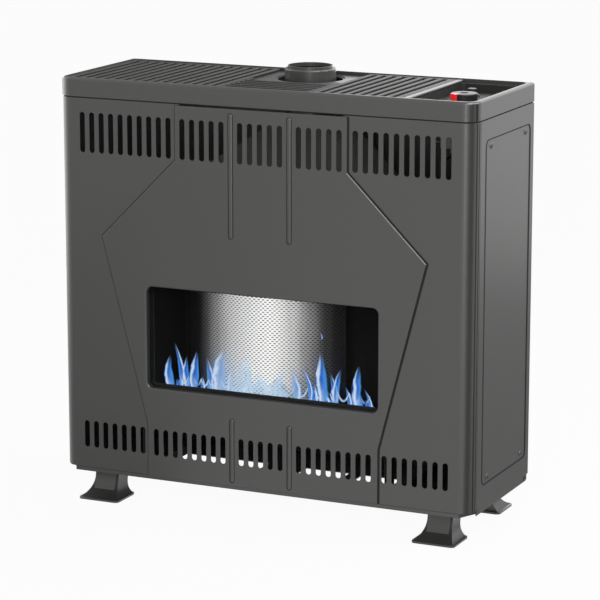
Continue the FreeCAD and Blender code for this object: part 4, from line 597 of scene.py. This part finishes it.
class HEATER_OT_finishes(bpy.types.Operator):
    """Give every solid of the frame its finish"""

    bl_idname = "heater.finishes"
    bl_label = "Finishes"

    def execute(self, context):
        wish = context.scene.heater_finish
        paint = tuple(wish.paint)
        deep = tuple(value * 0.86 for value in paint)
        red = tuple(wish.pointer)
        deep_red = tuple(value * 0.85 for value in red)
        slat_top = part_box("top_grille_left")[1][2]
        finishes.update({
            "casing_paint": surface_finish("Charcoal paint", paint, deep, wish.paint_rough, bump=0.04,
                                           cloud=5, specular=0.8),
            # The near-black is painted shade down the sides of the slats.
            "slat_paint": slat_shade_finish("Slat paint with painted shade", paint, (0.012, 0.012, 0.011), 0.52, slat_top),
            # The red moulding gets a painted glow: it glows though it is no lamp.
            "red_plastic": surface_finish("Red moulding with painted glow", red, deep_red, 0.3, coat=0.3, glow=0.3),
            "clear_glass": clear_glass("Clear glass"),
            # The screen's bright middle and dark sides are a painted highlight and painted shade.
            "screen_steel": screen_highlight_finish("Screen steel with painted highlight", (0.96, 0.95, 0.93), (0.02, 0.018, 0.016), 0.26),
        })
        for slot, name, light, dark, roughness, options in PLAIN_FINISHES:
            finishes[slot] = surface_finish(name, light, dark, roughness, **options)
        for part in frame["record"]["subparts"]:
            node = frame["nodes"][part["node"]]
            finish = finishes[OWN_FINISH.get(part["node"], part["material_slot"])]
            if node.material_slots:
                for slot in node.material_slots:
                    slot.material = finish
            else:
                node.data.materials.append(finish)
        return {"FINISHED"}


class HEATER_OT_screen(bpy.types.Operator):
    """Lay painted shade of holes on the curved screen behind the flames"""

    bl_idname = "heater.screen"
    bl_label = "Radiant screen"

    def execute(self, context):
        sizes = context.scene.heater_sizes
        low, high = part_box("radiant_screen")
        middle = (low[0] + high[0]) / 2
        half_turn = math.asin((high[0] - middle) / SCREEN_BEND)
        columns = int(2 * half_turn * SCREEN_BEND / sizes.hole_pitch) - 2
        rows = int((high[2] - low[2]) / (sizes.hole_pitch * ROW_STEP)) - 3
        mesh = grown(hole_shade_tree(finishes["painted_shade_black"]), "screen_hole_shades", {
            "Columns": columns, "Rows": rows, "Pitch": sizes.hole_pitch, "Hole": sizes.hole_radius,
            "Bend": SCREEN_BEND + 0.25 * MM,
            "Axis": (middle, low[1] + SCREEN_BEND, (low[2] + high[2]) / 2),
        })
        add_piece("screen_hole_shades", mesh, "heater", "heat_steel")
        return {"FINISHED"}


def bead_rings(bm, x, low, high, half, face, rise):
    """A long domed bead with round ends on a sheet that faces -Y."""
    rings = []
    for step in range(6):
        turn = math.pi / 2 * step / 5
        wide = max(half * math.cos(turn), 0.02 * MM)
        y = face - rise * math.sin(turn)
        ring = []
        for end, start in ((high - half, 0.0), (low + half, math.pi)):
            for spoke in range(9):
                angle = start + math.pi * spoke / 8
                ring.append(bm.verts.new((x + wide * math.cos(angle), y, end + wide * math.sin(angle))))
        rings.append(ring)
    for lower, upper in zip(rings, rings[1:]):
        for spoke in range(len(lower)):
            after = (spoke + 1) % len(lower)
            bm.faces.new((lower[spoke], lower[after], upper[after], upper[spoke])).smooth = True
    bm.faces.new(rings[-1])
    bm.faces.new(list(reversed(rings[0])))


def beside(points, wide):
    """The points moved to the left of their run by the given width, with mitred corners."""
    moved = []
    for spot, point in enumerate(points):
        ways = [points[spot] - points[spot - 1]] if spot else []
        ways += [points[spot + 1] - point] if spot < len(points) - 1 else []
        normals = [Vector((-way.y, way.x)).normalized() for way in ways]
        lean = normals[0] + normals[-1]
        moved.append(point + lean * (2 * wide / lean.length_squared))
    return moved


def round_loop(low, high, radius):
    """Points round a rectangle with round corners."""
    loop = []
    for corner, (x, y) in enumerate(((1, 1), (0, 1), (0, 0), (1, 0))):
        middle = Vector((high[0] - radius if x else low[0] + radius,
                         high[1] - radius if y else low[1] + radius))
        for step in range(7):
            turn = math.pi / 2 * (corner + step / 6)
            loop.append(middle + radius * Vector((math.cos(turn), math.sin(turn))))
    return loop


def band(bm, inner, outer, place, closed=False):
    """A thin line on a face between two runs of points."""
    rings = []
    for first, second in zip(inner, outer):
        stations = ((first, -0.3), (second, -0.3), (second, 0.3), (first, 0.3))
        rings.append([bm.verts.new(place(point, rise * MM)) for point, rise in stations])
    for one, two in zip(rings, rings[1:] + (rings[:1] if closed else [])):
        for corner in range(4):
            after = (corner + 1) % 4
            bm.faces.new((one[corner], one[after], two[after], two[corner]))
    if not closed:
        bm.faces.new(rings[0])
        bm.faces.new(list(reversed(rings[-1])))


def corner_line(bm, sign, roll, radius, start, end, low, high):
    """An upright painted dark line on the rounded front corner between two angles."""
    middle = Vector((sign * (CASING_HALF - roll) * MM, (CASING_FRONT + roll) * MM))
    plan = []
    for reach, turns in ((radius - 0.4, (start, end)), (radius + 0.3, (end, start))):
        for turn in turns:
            away = math.radians(turn)
            plan.append(middle + reach * MM * Vector((sign * math.cos(away), -math.sin(away))))
    rings = [[bm.verts.new((point.x, point.y, z)) for point in plan] for z in (low, high)]
    for corner in range(4):
        after = (corner + 1) % 4
        bm.faces.new((rings[0][corner], rings[0][after], rings[1][after], rings[1][corner]))
    bm.faces.new(list(reversed(rings[0])))
    bm.faces.new(rings[1])


class HEATER_OT_beads(bpy.types.Operator):
    """Press the domed beads into the grooves of the front and draw the painted shadow lines of the joints,
    slots and front corners
    """

    bl_idname = "heater.beads"
    bl_label = "Beads and seams"

    def execute(self, context):
        low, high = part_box("centre_panel")
        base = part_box("base_frame")[0][2]
        bm = bmesh.new()
        for x in (-BEAD_X, BEAD_X):
            for foot, top in BEAD_SPANS:
                bead_rings(bm, x * MM, base + (foot + BEAD_GAP) * MM, base + (top - BEAD_GAP) * MM,
                           BEAD_HALF * MM, low[1] + BEAD_SUNK * MM, BEAD_RISE * MM)
        beads = mesh_from(bm, "front_beads", finishes["casing_paint"])
        add_piece("front_beads", beads, "heater", "casing_paint")
        bm = bmesh.new()
        self.line_panel(bm, low, high, base)
        self.line_sides(bm)
        self.line_window(bm, low[1], base)
        self.line_base(bm)
        add_piece("joint_shadow_lines", mesh_from(bm, "joint_shadow_lines", finishes["painted_shade_black"]), "heater", "heat_steel")
        return {"FINISHED"}

    @staticmethod
    def line_panel(bm, low, high, base):
        """The painted shadow line of the joint down both edges of the centre panel, narrower on the left."""
        edge = [Vector((PANEL_BENDS[0][0] * MM, high[2]))]
        edge += [Vector((x * MM, base + z * MM)) for x, z in PANEL_BENDS]
        edge.append(Vector((PANEL_BENDS[-1][0] * MM, low[2])))
        for sign, wide in SEAM_WIDTHS:
            band(bm, edge, beside(edge, wide * MM),
                 lambda p, rise: (sign * p.x, low[1] + SEAM_SUNK * MM - rise, p.y))

    @staticmethod
    def line_sides(bm):
        """Painted shade: the shadow line round each side cover, two dark slots low on the side and the dark
        lines of the front corner.
        """
        side_low, side_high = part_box("side_panel_right")
        cover_low, cover_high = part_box("side_cover_right")
        cap_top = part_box("top_cap")[1][2]
        seam = side_high[2] - 1.5 * MM
        loops = []
        for aside, above in COVER_STRIP:
            loops.append(round_loop((cover_low[1] - aside * MM, cover_low[2] - above * MM),
                                    (cover_high[1] + aside * MM, cover_high[2] + above * MM),
                                    (COVER_ROLL + above) * MM))
        for sign in (-1, 1):
            band(bm, *loops, lambda p, rise: (sign * (side_high[0] + rise), p.x, p.y), closed=True)
            # Two dark boxes, painted shade of slots low on the side.
            for y in SIDE_SLOTS:
                rounded_box(bm, (sign * side_high[0] - 0.4 * MM, y * MM, side_low[2] + 3 * MM),
                            (sign * side_high[0] + 0.4 * MM, (y + 2) * MM, side_low[2] + 8.5 * MM), 0.2 * MM)
            for line in WING_LINES:
                corner_line(bm, sign, WING_ROLL, 22.0, *line, side_low[2] + 8 * MM, seam)
            corner_line(bm, sign, CAP_ROLL, 25.8, *CAP_LINE, seam + 2.5 * MM, cap_top - 3.5 * MM)

    @staticmethod
    def line_window(bm, front, base):
        """The painted shadow line round the inside of the window's opening."""
        window_shade = []
        for gap in WINDOW_SHADE_GAPS:
            window_shade.append(round_loop((-(WINDOW_HALF - gap) * MM, base + (WINDOW_SPAN[0] + gap) * MM),
                                    ((WINDOW_HALF - gap) * MM, base + (WINDOW_SPAN[1] - gap) * MM),
                                    (WINDOW_ROLL - gap) * MM))
        band(bm, *window_shade, lambda p, rise: (p.x, front + 5.6 * MM + 10 * rise, p.y), closed=True)

    @staticmethod
    def line_base(bm):
        """The painted shadow line between the wings and the base."""
        base_low, base_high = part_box("base_frame")
        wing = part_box("front_wing_right")[0][2]
        inset = 19 * MM
        rounded_box(bm, (base_low[0] + inset, base_low[1] - 0.5 * MM, wing - 0.9 * MM),
                    (base_high[0] - inset, base_low[1] + 0.5 * MM, wing + 0.3 * MM), 0.3 * MM)


class HEATER_OT_grilles(bpy.types.Operator):
    """Lay rounded slats in the top"""

    bl_idname = "heater.grilles"
    bl_label = "Top grilles"

    def execute(self, context):
        sizes = context.scene.heater_sizes
        tree = slat_tree(finishes["slat_paint"])
        end = sizes.slat_end
        for node, from_right in (("top_grille_left", True), ("top_grille_right", False)):
            low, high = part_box(node)
            count = int((high[0] - low[0] - sizes.slat_width) / sizes.slat_pitch)
            run = count * sizes.slat_pitch
            first = high[0] - run + sizes.slat_pitch if from_right else low[0] + sizes.slat_width
            start = (first - sizes.slat_width / 2, low[1] + end - SLAT_TUCK, (low[2] + high[2]) / 2)
            mesh = grown(tree, node + "_slats", {
                "Count": count, "Pitch": sizes.slat_pitch, "Width": sizes.slat_width,
                "Height": high[2] - low[2], "Rounding": sizes.slat_round, "Start": start,
                "Length": high[1] - low[1] - 2 * end + 2 * SLAT_TUCK,
            })
            bm = bmesh.new()
            bm.from_mesh(mesh)
            plain = (low[0], high[0] - run) if from_right else (low[0] + run, high[0])
            spans = (
                (low[0], low[1], high[0], low[1] + end), (low[0], high[1] - end, high[0], high[1]),
                (plain[0], low[1] + end - SLAT_TUCK, plain[1], high[1] - end + SLAT_TUCK),
            )
            for x0, y0, x1, y1 in spans:
                rounded_box(bm, (x0, y0, low[2]), (x1, y1, high[2]), 1.2 * MM)
            grille = mesh_from(bm, node, finishes["slat_paint"])
            add_piece(node + "_dressed", grille, "heater", "casing_paint", node)
        self.lay_centre(tree, sizes)
        self.lay_lip(sizes)
        return {"FINISHED"}

    @staticmethod
    def lay_lip(sizes):
        """The folded lip between the right grille and the control well."""
        low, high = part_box("control_tray")
        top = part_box("top_grille_right")[1][2]
        bm = bmesh.new()
        rounded_box(bm, (low[0] + 0.2 * MM, low[1] + 1 * MM, high[2]),
                    (low[0] + sizes.slat_end, high[1] - 1 * MM, top), 1.4 * MM)
        add_piece("tray_lip", mesh_from(bm, "tray_lip", finishes["casing_paint"]), "heater", "casing_paint")

    @staticmethod
    def lay_centre(tree, sizes):
        """The middle grille: rounded bars from side to side between two plain ends."""
        low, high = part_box("top_grille_centre")
        end = sizes.slat_width
        count = int((high[1] - low[1] - sizes.slat_end) / sizes.slat_pitch)
        mesh = grown(tree, "centre_slats", {
            "Count": count, "Pitch": sizes.slat_pitch, "Width": sizes.slat_width, "Height": high[2] - low[2],
            "Rounding": sizes.slat_round, "Length": high[0] - low[0] - 2 * end + 2 * SLAT_TUCK,
            "Start": (-sizes.slat_width / 2, low[0] + end - SLAT_TUCK, (low[2] + high[2]) / 2),
        })
        crossed = Matrix(((0, 1, 0, 0), (1, 0, 0, low[1] + sizes.slat_end), (0, 0, 1, 0), (0, 0, 0, 1)))
        mesh.transform(crossed)
        bm = bmesh.new()
        bm.from_mesh(mesh)
        spans = (
            (low[0], low[1], low[0] + end, high[1]), (high[0] - end, low[1], high[0], high[1]),
            (low[0] + end, low[1], high[0] - end, low[1] + 2 * MM),
        )
        for x0, y0, x1, y1 in spans:
            rounded_box(bm, (x0, y0, low[2]), (x1, y1, high[2]), 0.8 * MM)
        # The middle grille takes the darker paint: painted shade.
        piece = mesh_from(bm, "top_grille_centre", finishes["painted_shade_coat"])
        add_piece("top_grille_centre_dressed", piece, "heater", "casing_paint", "top_grille_centre")


class HEATER_OT_screws(bpy.types.Operator):
    """Set cross-head screws in the side covers and the back"""

    bl_idname = "heater.screws"
    bl_label = "Casing screws"

    def execute(self, context):
        tree = screw_tree(finishes["zinc_screws"], finishes["painted_shade_black"])
        low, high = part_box("side_cover_screws")
        radius = SCREW_RADIUS * MM
        dome = SCREW_DOME * MM
        sunk = SCREW_SUNK * MM
        for side, turn in ((1, 0.0), (-1, math.pi)):
            mesh = grown(tree, "cover_screw_heads", {
                "Columns": 2, "Rows": 2, "Size Y": high[1] - low[1] - 2 * radius,
                "Size Z": high[2] - low[2] - 2 * radius,
                "Middle": (side * (high[0] - sunk), (low[1] + high[1]) / 2, (low[2] + high[2]) / 2),
                "Turn": (0.0, 0.0, turn), "Radius": radius, "Dome": dome,
            })
            name = "cover_screws_" + ("right" if side > 0 else "left")
            add_piece(name, mesh, "heater", "zinc_screws", "side_cover_screws")
        low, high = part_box("back_screws")
        mesh = grown(tree, "back_screw_heads", {
            "Columns": context.scene.heater_sizes.back_rows, "Rows": 2,
            "Size Y": high[0] - low[0] - 2 * radius, "Size Z": high[2] - low[2] - 2 * radius,
            "Middle": ((low[0] + high[0]) / 2, high[1] - sunk, (low[2] + high[2]) / 2),
            "Turn": (0.0, 0.0, math.pi / 2), "Radius": radius, "Dome": dome,
        })
        add_piece("back_screw_heads", mesh, "heater", "zinc_screws", "back_screws")
        return {"FINISHED"}


class HEATER_OT_springs(bpy.types.Operator):
    """Wind the return springs of the knob and the igniter button"""

    bl_idname = "heater.springs"
    bl_label = "Return springs"

    def execute(self, context):
        tree = spring_tree(finishes["bright_steel"])
        for node, joint, travel, wire in SPRINGS:
            low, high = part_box(node)
            tall = high[2] - low[2]
            middle = ((low[0] + high[0]) / 2, (low[1] + high[1]) / 2)
            mesh = grown(tree, node + "_coil", {
                "Turns": 5.0, "Radius": (high[0] - low[0]) / 2 - wire * MM, "Height": tall - 2 * wire * MM,
                "Wire": wire * MM, "Foot": (*middle, low[2] + wire * MM),
            })
            coil = add_piece(node + "_coil", mesh, "heater", "bright_steel", node)
            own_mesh(coil)
        return {"FINISHED"}


# Flame tongues in mm: foot, tip's shift, height, width, bow to the side, lift above the ports
FLAMES = (
    (-164, -6, 62, 15, -10, 0), (-153, -11, 85, 9, 7, 0), (-138, -3, 64, 11, -5, 0), (-128, 5, 74, 14, -3, 0),
    (-116, 1, 34, 8, 3, 0), (-103, -5, 66, 12, 6, 0), (-90, 3, 40, 7, -5, 0), (-82, 8, 87, 22, -8, 0),
    (-64, 4, 56, 10, -5, 0), (-53, 10, 80, 23, 8, 0), (-36, -4, 48, 12, 4, 0), (-17, -3, 52, 24, 4, 0),
    (4, 5, 40, 14, -4, 0), (19, 3, 58, 16, -6, 0), (45, -9, 62, 14, 5, 0), (66, -14, 70, 7, 9, 0),
    (77, -3, 42, 12, 3, 0), (93, -7, 95, 17, -3, 0), (103, -1, 62, 11, 10, 0), (88, -4, 12, 2, 2, 110),
    (115, 7, 70, 12, -7, 0), (135, -8, 43, 7, 3, 0), (154, -3, 78, 15, -8, 0), (169, -11, 42, 6, 4, 0),
)
FLAME_SPREAD = 1.45
FLAME_BACK = 7

# Low jets between the tongues, and threads that hang over gaps wider than the limit, in mm;
# all stand back from the front of the burner
JET_COUNT = 16
JET_START = -161
JET_PITCH = 21.5
JET_BACK = 9
BRIDGE_LIMIT = 11.5
BRIDGE_RISE = 17
BRIDGE_BACK = 6


def flame_tongue(bm, across, foot_z, y, row):
    """One closed tongue; the across layer runs from -1 to 1 over its width and 0 to 1 up it."""
    x, shift, tall, wide, bow, lift = (value * MM for value in row)
    wide *= FLAME_SPREAD
    flank = math.copysign(1.0, bow)
    steps = 18
    spokes = 12
    rings = []
    for step in range(steps + 1):
        rise = step / steps
        swell = math.sin(math.pi * (0.12 + 0.88 * rise)) ** 0.75 * (1.0 - 0.35 * rise)
        half = max(0.5 * wide * swell, 0.12 * MM)
        middle = x + shift * rise ** 1.6 + bow * math.sin(math.pi * rise) * (1.0 - 0.3 * rise)
        ring = []
        for spoke in range(spokes):
            angle = 2 * math.pi * spoke / spokes
            place = (middle + half * math.cos(angle), y + min(0.22 * half, 2.2 * MM) * math.sin(angle),
                     foot_z + lift + rise * tall)
            ring.append((bm.verts.new(place), flank * math.cos(angle), rise))
        rings.append(ring)
    flame_walls(bm, across, rings)


def flame_walls(bm, across, rings):
    """Close the rings of one tongue and lay its across layer."""
    spokes = len(rings[0])
    walls = [list(rings[0]), list(reversed(rings[-1]))]
    for lower, upper in zip(rings, rings[1:]):
        for spoke in range(spokes):
            after = (spoke + 1) % spokes
            walls.append((lower[spoke], lower[after], upper[after], upper[spoke]))
    for wall in walls:
        face = bm.faces.new([corner[0] for corner in wall])
        face.smooth = True
        for loop, corner in zip(face.loops, wall):
            loop[across].uv = (corner[1], corner[2])


def flame_bridge(bm, across, foot_z, y, start, end, sag):
    """A pale thread that hangs from one tongue's root to the next."""
    rings = []
    for step in range(13):
        share = step / 12
        lean = 2 * share - 1
        thick = (0.6 + 1.1 * (1 - lean * lean)) * MM
        middle = ((start + (end - start) * share) * MM, foot_z + (BRIDGE_RISE + sag * lean * lean) * MM)
        slope = Vector(((end - start) * MM, 4 * sag * lean * MM)).normalized()
        ring = []
        for spoke in range(8):
            angle = math.pi / 4 * spoke
            away = thick * math.cos(angle)
            place = (middle[0] - slope.y * away, y + thick * math.sin(angle), middle[1] + slope.x * away)
            ring.append((bm.verts.new(place), 0.3, 0.76))
        rings.append(ring)
    flame_walls(bm, across, rings)


class HEATER_OT_flames(bpy.types.Operator):
    """Light the burner"""

    bl_idname = "heater.flames"
    bl_label = "Flames"

    def execute(self, context):
        low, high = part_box("burner_tube")
        bm = bmesh.new()
        across = bm.loops.layers.uv.new("Tongue")
        for row in FLAMES:
            flame_tongue(bm, across, high[2] - 1.0 * MM, low[1] + FLAME_BACK * MM, row)
        for jet in range(JET_COUNT):
            x = JET_START + JET_PITCH * jet
            row = (x, 9 * math.sin(1.9 * jet), 24 + 9 * math.sin(2.3 * jet), 15, 8 * math.cos(1.7 * jet), 0)
            flame_tongue(bm, across, high[2] - 1.0 * MM, low[1] + JET_BACK * MM, row)
        feet = sorted(row[0] for row in FLAMES if not row[5])
        for start, end in zip(feet, feet[1:]):
            if end - start > BRIDGE_LIMIT:
                sag = 4 + 0.5 * (end - start)
                flame_bridge(bm, across, high[2], low[1] + BRIDGE_BACK * MM, start, end, sag)
        add_piece("flames", mesh_from(bm, "flames", flame_glow("Flame")), "heater", "clear_glass")
        return {"FINISHED"}


def background_rays(net):
    """One for rays that show the background itself, zero for rays that light the object."""
    rays = net.node("ShaderNodeLightPath")
    sharp = rays.out("Is Camera Ray").larger(rays.out("Is Glossy Ray"))
    return sharp.larger(rays.out("Is Transmission Ray"))


def studio_card(name, level, corners):
    """A card of one brightness that is seen only in reflections."""
    net, close = new_shader(name)
    mesh = bpy.data.meshes.new(name)
    mesh.from_pydata(corners, [], [tuple(range(len(corners)))])
    mesh.materials.append(close("ShaderNodeEmission", {"Color": (1, 1, 1, 1), "Strength": level}))
    card = bpy.data.objects.new(name, mesh)
    bpy.context.scene.collection.objects.link(card)
    card.visible_camera = False
    card.visible_diffuse = False
    card.visible_shadow = False
    card.visible_transmission = False
    card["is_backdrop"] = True


def standing(x0, y0, x1, y1, low, high):
    """Corners of an upright card over a line on the floor."""
    return [(x0, y0, low), (x1, y1, low), (x1, y1, high), (x0, y0, high)]


def lying(*places):
    """Corners of a card just above the floor."""
    return [(x, y, 2 * MM) for x, y in places]


# Cards: name, brightness and corners in m
CARDS = (
    ("corner_floor", 0.0, lying((0.40, -0.14), (1.75, -0.30), (1.35, -1.45), (0.36, -0.20))),
    ("corner_wall", 0.0, standing(1.35, -1.45, 1.75, -0.30, 0.0, 1.3)),
    ("left_floor", 0.5, lying((-0.16, -0.14), (-1.50, -3.00), (-3.20, -3.00), (-0.9, -0.14))),
    ("side_floor", 0.4, lying((0.36, -0.12), (0.36, 0.14), (0.05, 0.5), (0.2, 1.9), (2.2, 1.9),
                              (0.95, -0.12))),
    ("side_wall", 1.2, standing(0.85, 2.1, 2.4, 2.1, 0.0, 0.9)),
    ("left_wall", 2.2, standing(-1.9, -0.4, -1.9, 1.4, 0.0, 2.0)),
    ("rim_bright", 3.0, standing(-0.75, 1.6, 0.2, 1.6, 0.30, 0.70)),
    ("edge_bright", 9.0, ((0.6, -0.9, 1.9), (1.3, -1.3, 1.3), (1.4, -0.3, 1.3), (0.7, -0.1, 1.9))),
    ("top_dark", 0.36, standing(-1.9, 0.9, -0.37, 0.9, 0.70, 1.8)),
    ("top_bright", 2.3, standing(-0.33, 0.9, 0.8, 0.9, 0.70, 1.6)),
)

# Lights: name, place, aim and size in m, power in W
LIGHTS = (
    ("high_right", (1.35, 0.35, 1.55), (0.345, 0, 0.5), (0.7, 0.7), 11),
    ("front", (1.3, -3.2, 1.9), (0.1, 0, 0.4), (1.2, 1.6), 34),
    ("low_strip", (0.95, -3.0, 0.5), (0.33, -0.11, 0.4), (0.25, 1.0), 8),
)

# Camera: lens and sensor in mm, place in m, tilt and turn in degrees
CAMERA_LENS = 167.744
CAMERA_SENSOR = 36.0
CAMERA_PLACE = (1.78431, -3.86204, 1.24664)
CAMERA_TILT = 77.791
CAMERA_TURN = 24.686


def area_light(name, place, aim, size, power):
    """A rectangle of light turned to its aim."""
    lamp = bpy.data.lights.new(name, "AREA")
    lamp.shape = "RECTANGLE"
    lamp.size, lamp.size_y = size
    lamp.energy = power
    holder = bpy.data.objects.new(name, lamp)
    holder.location = place
    holder.rotation_euler = (Vector(aim) - Vector(place)).to_track_quat("-Z", "Y").to_euler()
    bpy.context.scene.collection.objects.link(holder)


class HEATER_OT_studio(bpy.types.Operator):
    """Floor, surroundings, cards, lights and camera"""

    bl_idname = "heater.studio"
    bl_label = "Studio"

    def execute(self, context):
        scene = context.scene
        scene.view_settings.view_transform = "Standard"
        self.lay_floor(scene)
        self.light_air(scene)
        for card in CARDS:
            studio_card(*card)
        for light in LIGHTS:
            area_light(*light)
        lens = bpy.data.cameras.new("camera")
        lens.lens = CAMERA_LENS
        lens.sensor_width = CAMERA_SENSOR
        camera = bpy.data.objects.new("camera", lens)
        camera.location = CAMERA_PLACE
        camera.rotation_euler = (math.radians(CAMERA_TILT), 0.0, math.radians(CAMERA_TURN))
        scene.collection.objects.link(camera)
        scene.camera = camera
        return {"FINISHED"}

    @staticmethod
    def lay_floor(scene):
        """A white floor that takes a faint shadow."""
        span = 12.0
        corners = [(-span, -span, 0), (span, -span, 0), (span, span, 0), (-span, span, 0)]
        mesh = bpy.data.meshes.new("floor")
        mesh.from_pydata(corners, [], [(0, 1, 2, 3)])
        net, close = new_shader("Studio floor")
        matt = net.node("ShaderNodeBsdfDiffuse", None, {"Color": (0.85, 0.85, 0.85, 1)}).out()
        white = net.node("ShaderNodeEmission", None, {"Color": (1, 1, 1, 1), "Strength": 1.0}).out()
        shown = {0: background_rays(net) * 0.95, 1: matt, 2: white}
        mesh.materials.append(close("ShaderNodeMixShader", shown))
        floor = bpy.data.objects.new("floor", mesh)
        scene.collection.objects.link(floor)
        floor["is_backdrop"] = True

    @staticmethod
    def light_air(scene):
        """White surroundings that light the heater less than they show."""
        world = bpy.data.worlds.new("Studio")
        world.use_nodes = True
        scene.world = world
        world.node_tree.nodes.clear()
        air = Net(world.node_tree)
        dim = air.node("ShaderNodeBackground", None, {"Color": (1, 1, 1, 1), "Strength": 0.45}).out()
        bright = air.node("ShaderNodeBackground", None, {"Color": (1, 1, 1, 1), "Strength": 1.0}).out()
        mixed = air.node("ShaderNodeMixShader", None, {0: background_rays(air), 1: dim, 2: bright}).out()
        air.tree.links.new(mixed.socket, air.node("ShaderNodeOutputWorld").node.inputs[0])


STEPS = (
    HEATER_OT_finishes, HEATER_OT_screen, HEATER_OT_beads, HEATER_OT_grilles, HEATER_OT_screws,
    HEATER_OT_springs, HEATER_OT_flames, HEATER_OT_studio,
)


class HEATER_PT_panel(bpy.types.Panel):
    """Heater dressing steps"""

    bl_idname = "HEATER_PT_panel"
    bl_label = "Heater"
    bl_space_type = "VIEW_3D"
    bl_region_type = "UI"
    bl_category = "Heater"

    def draw(self, context):
        for group in (context.scene.heater_finish, context.scene.heater_sizes):
            for name in group.__annotations__:
                self.layout.prop(group, name)
        for step in STEPS:
            self.layout.operator(step.bl_idname)


CLASSES = (HeaterFinish, HeaterSizes) + STEPS + (HEATER_PT_panel,)


def register():
    for cls in CLASSES:
        bpy.utils.register_class(cls)
    bpy.types.Scene.heater_finish = PointerProperty(type=HeaterFinish)
    bpy.types.Scene.heater_sizes = PointerProperty(type=HeaterSizes)


def unregister():
    del bpy.types.Scene.heater_sizes
    del bpy.types.Scene.heater_finish
    for cls in reversed(CLASSES):
        bpy.utils.unregister_class(cls)


def main():
    register()
    for step in STEPS:
        family, name = step.bl_idname.split(".")
        getattr(getattr(bpy.ops, family), name)()
    boxes = {"cad": CAD_BOX, "visual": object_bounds()}
    plain = {key: [[float(v) for v in corner] for corner in value] for key, value in boxes.items()}


if __name__ == "__main__":
    main()
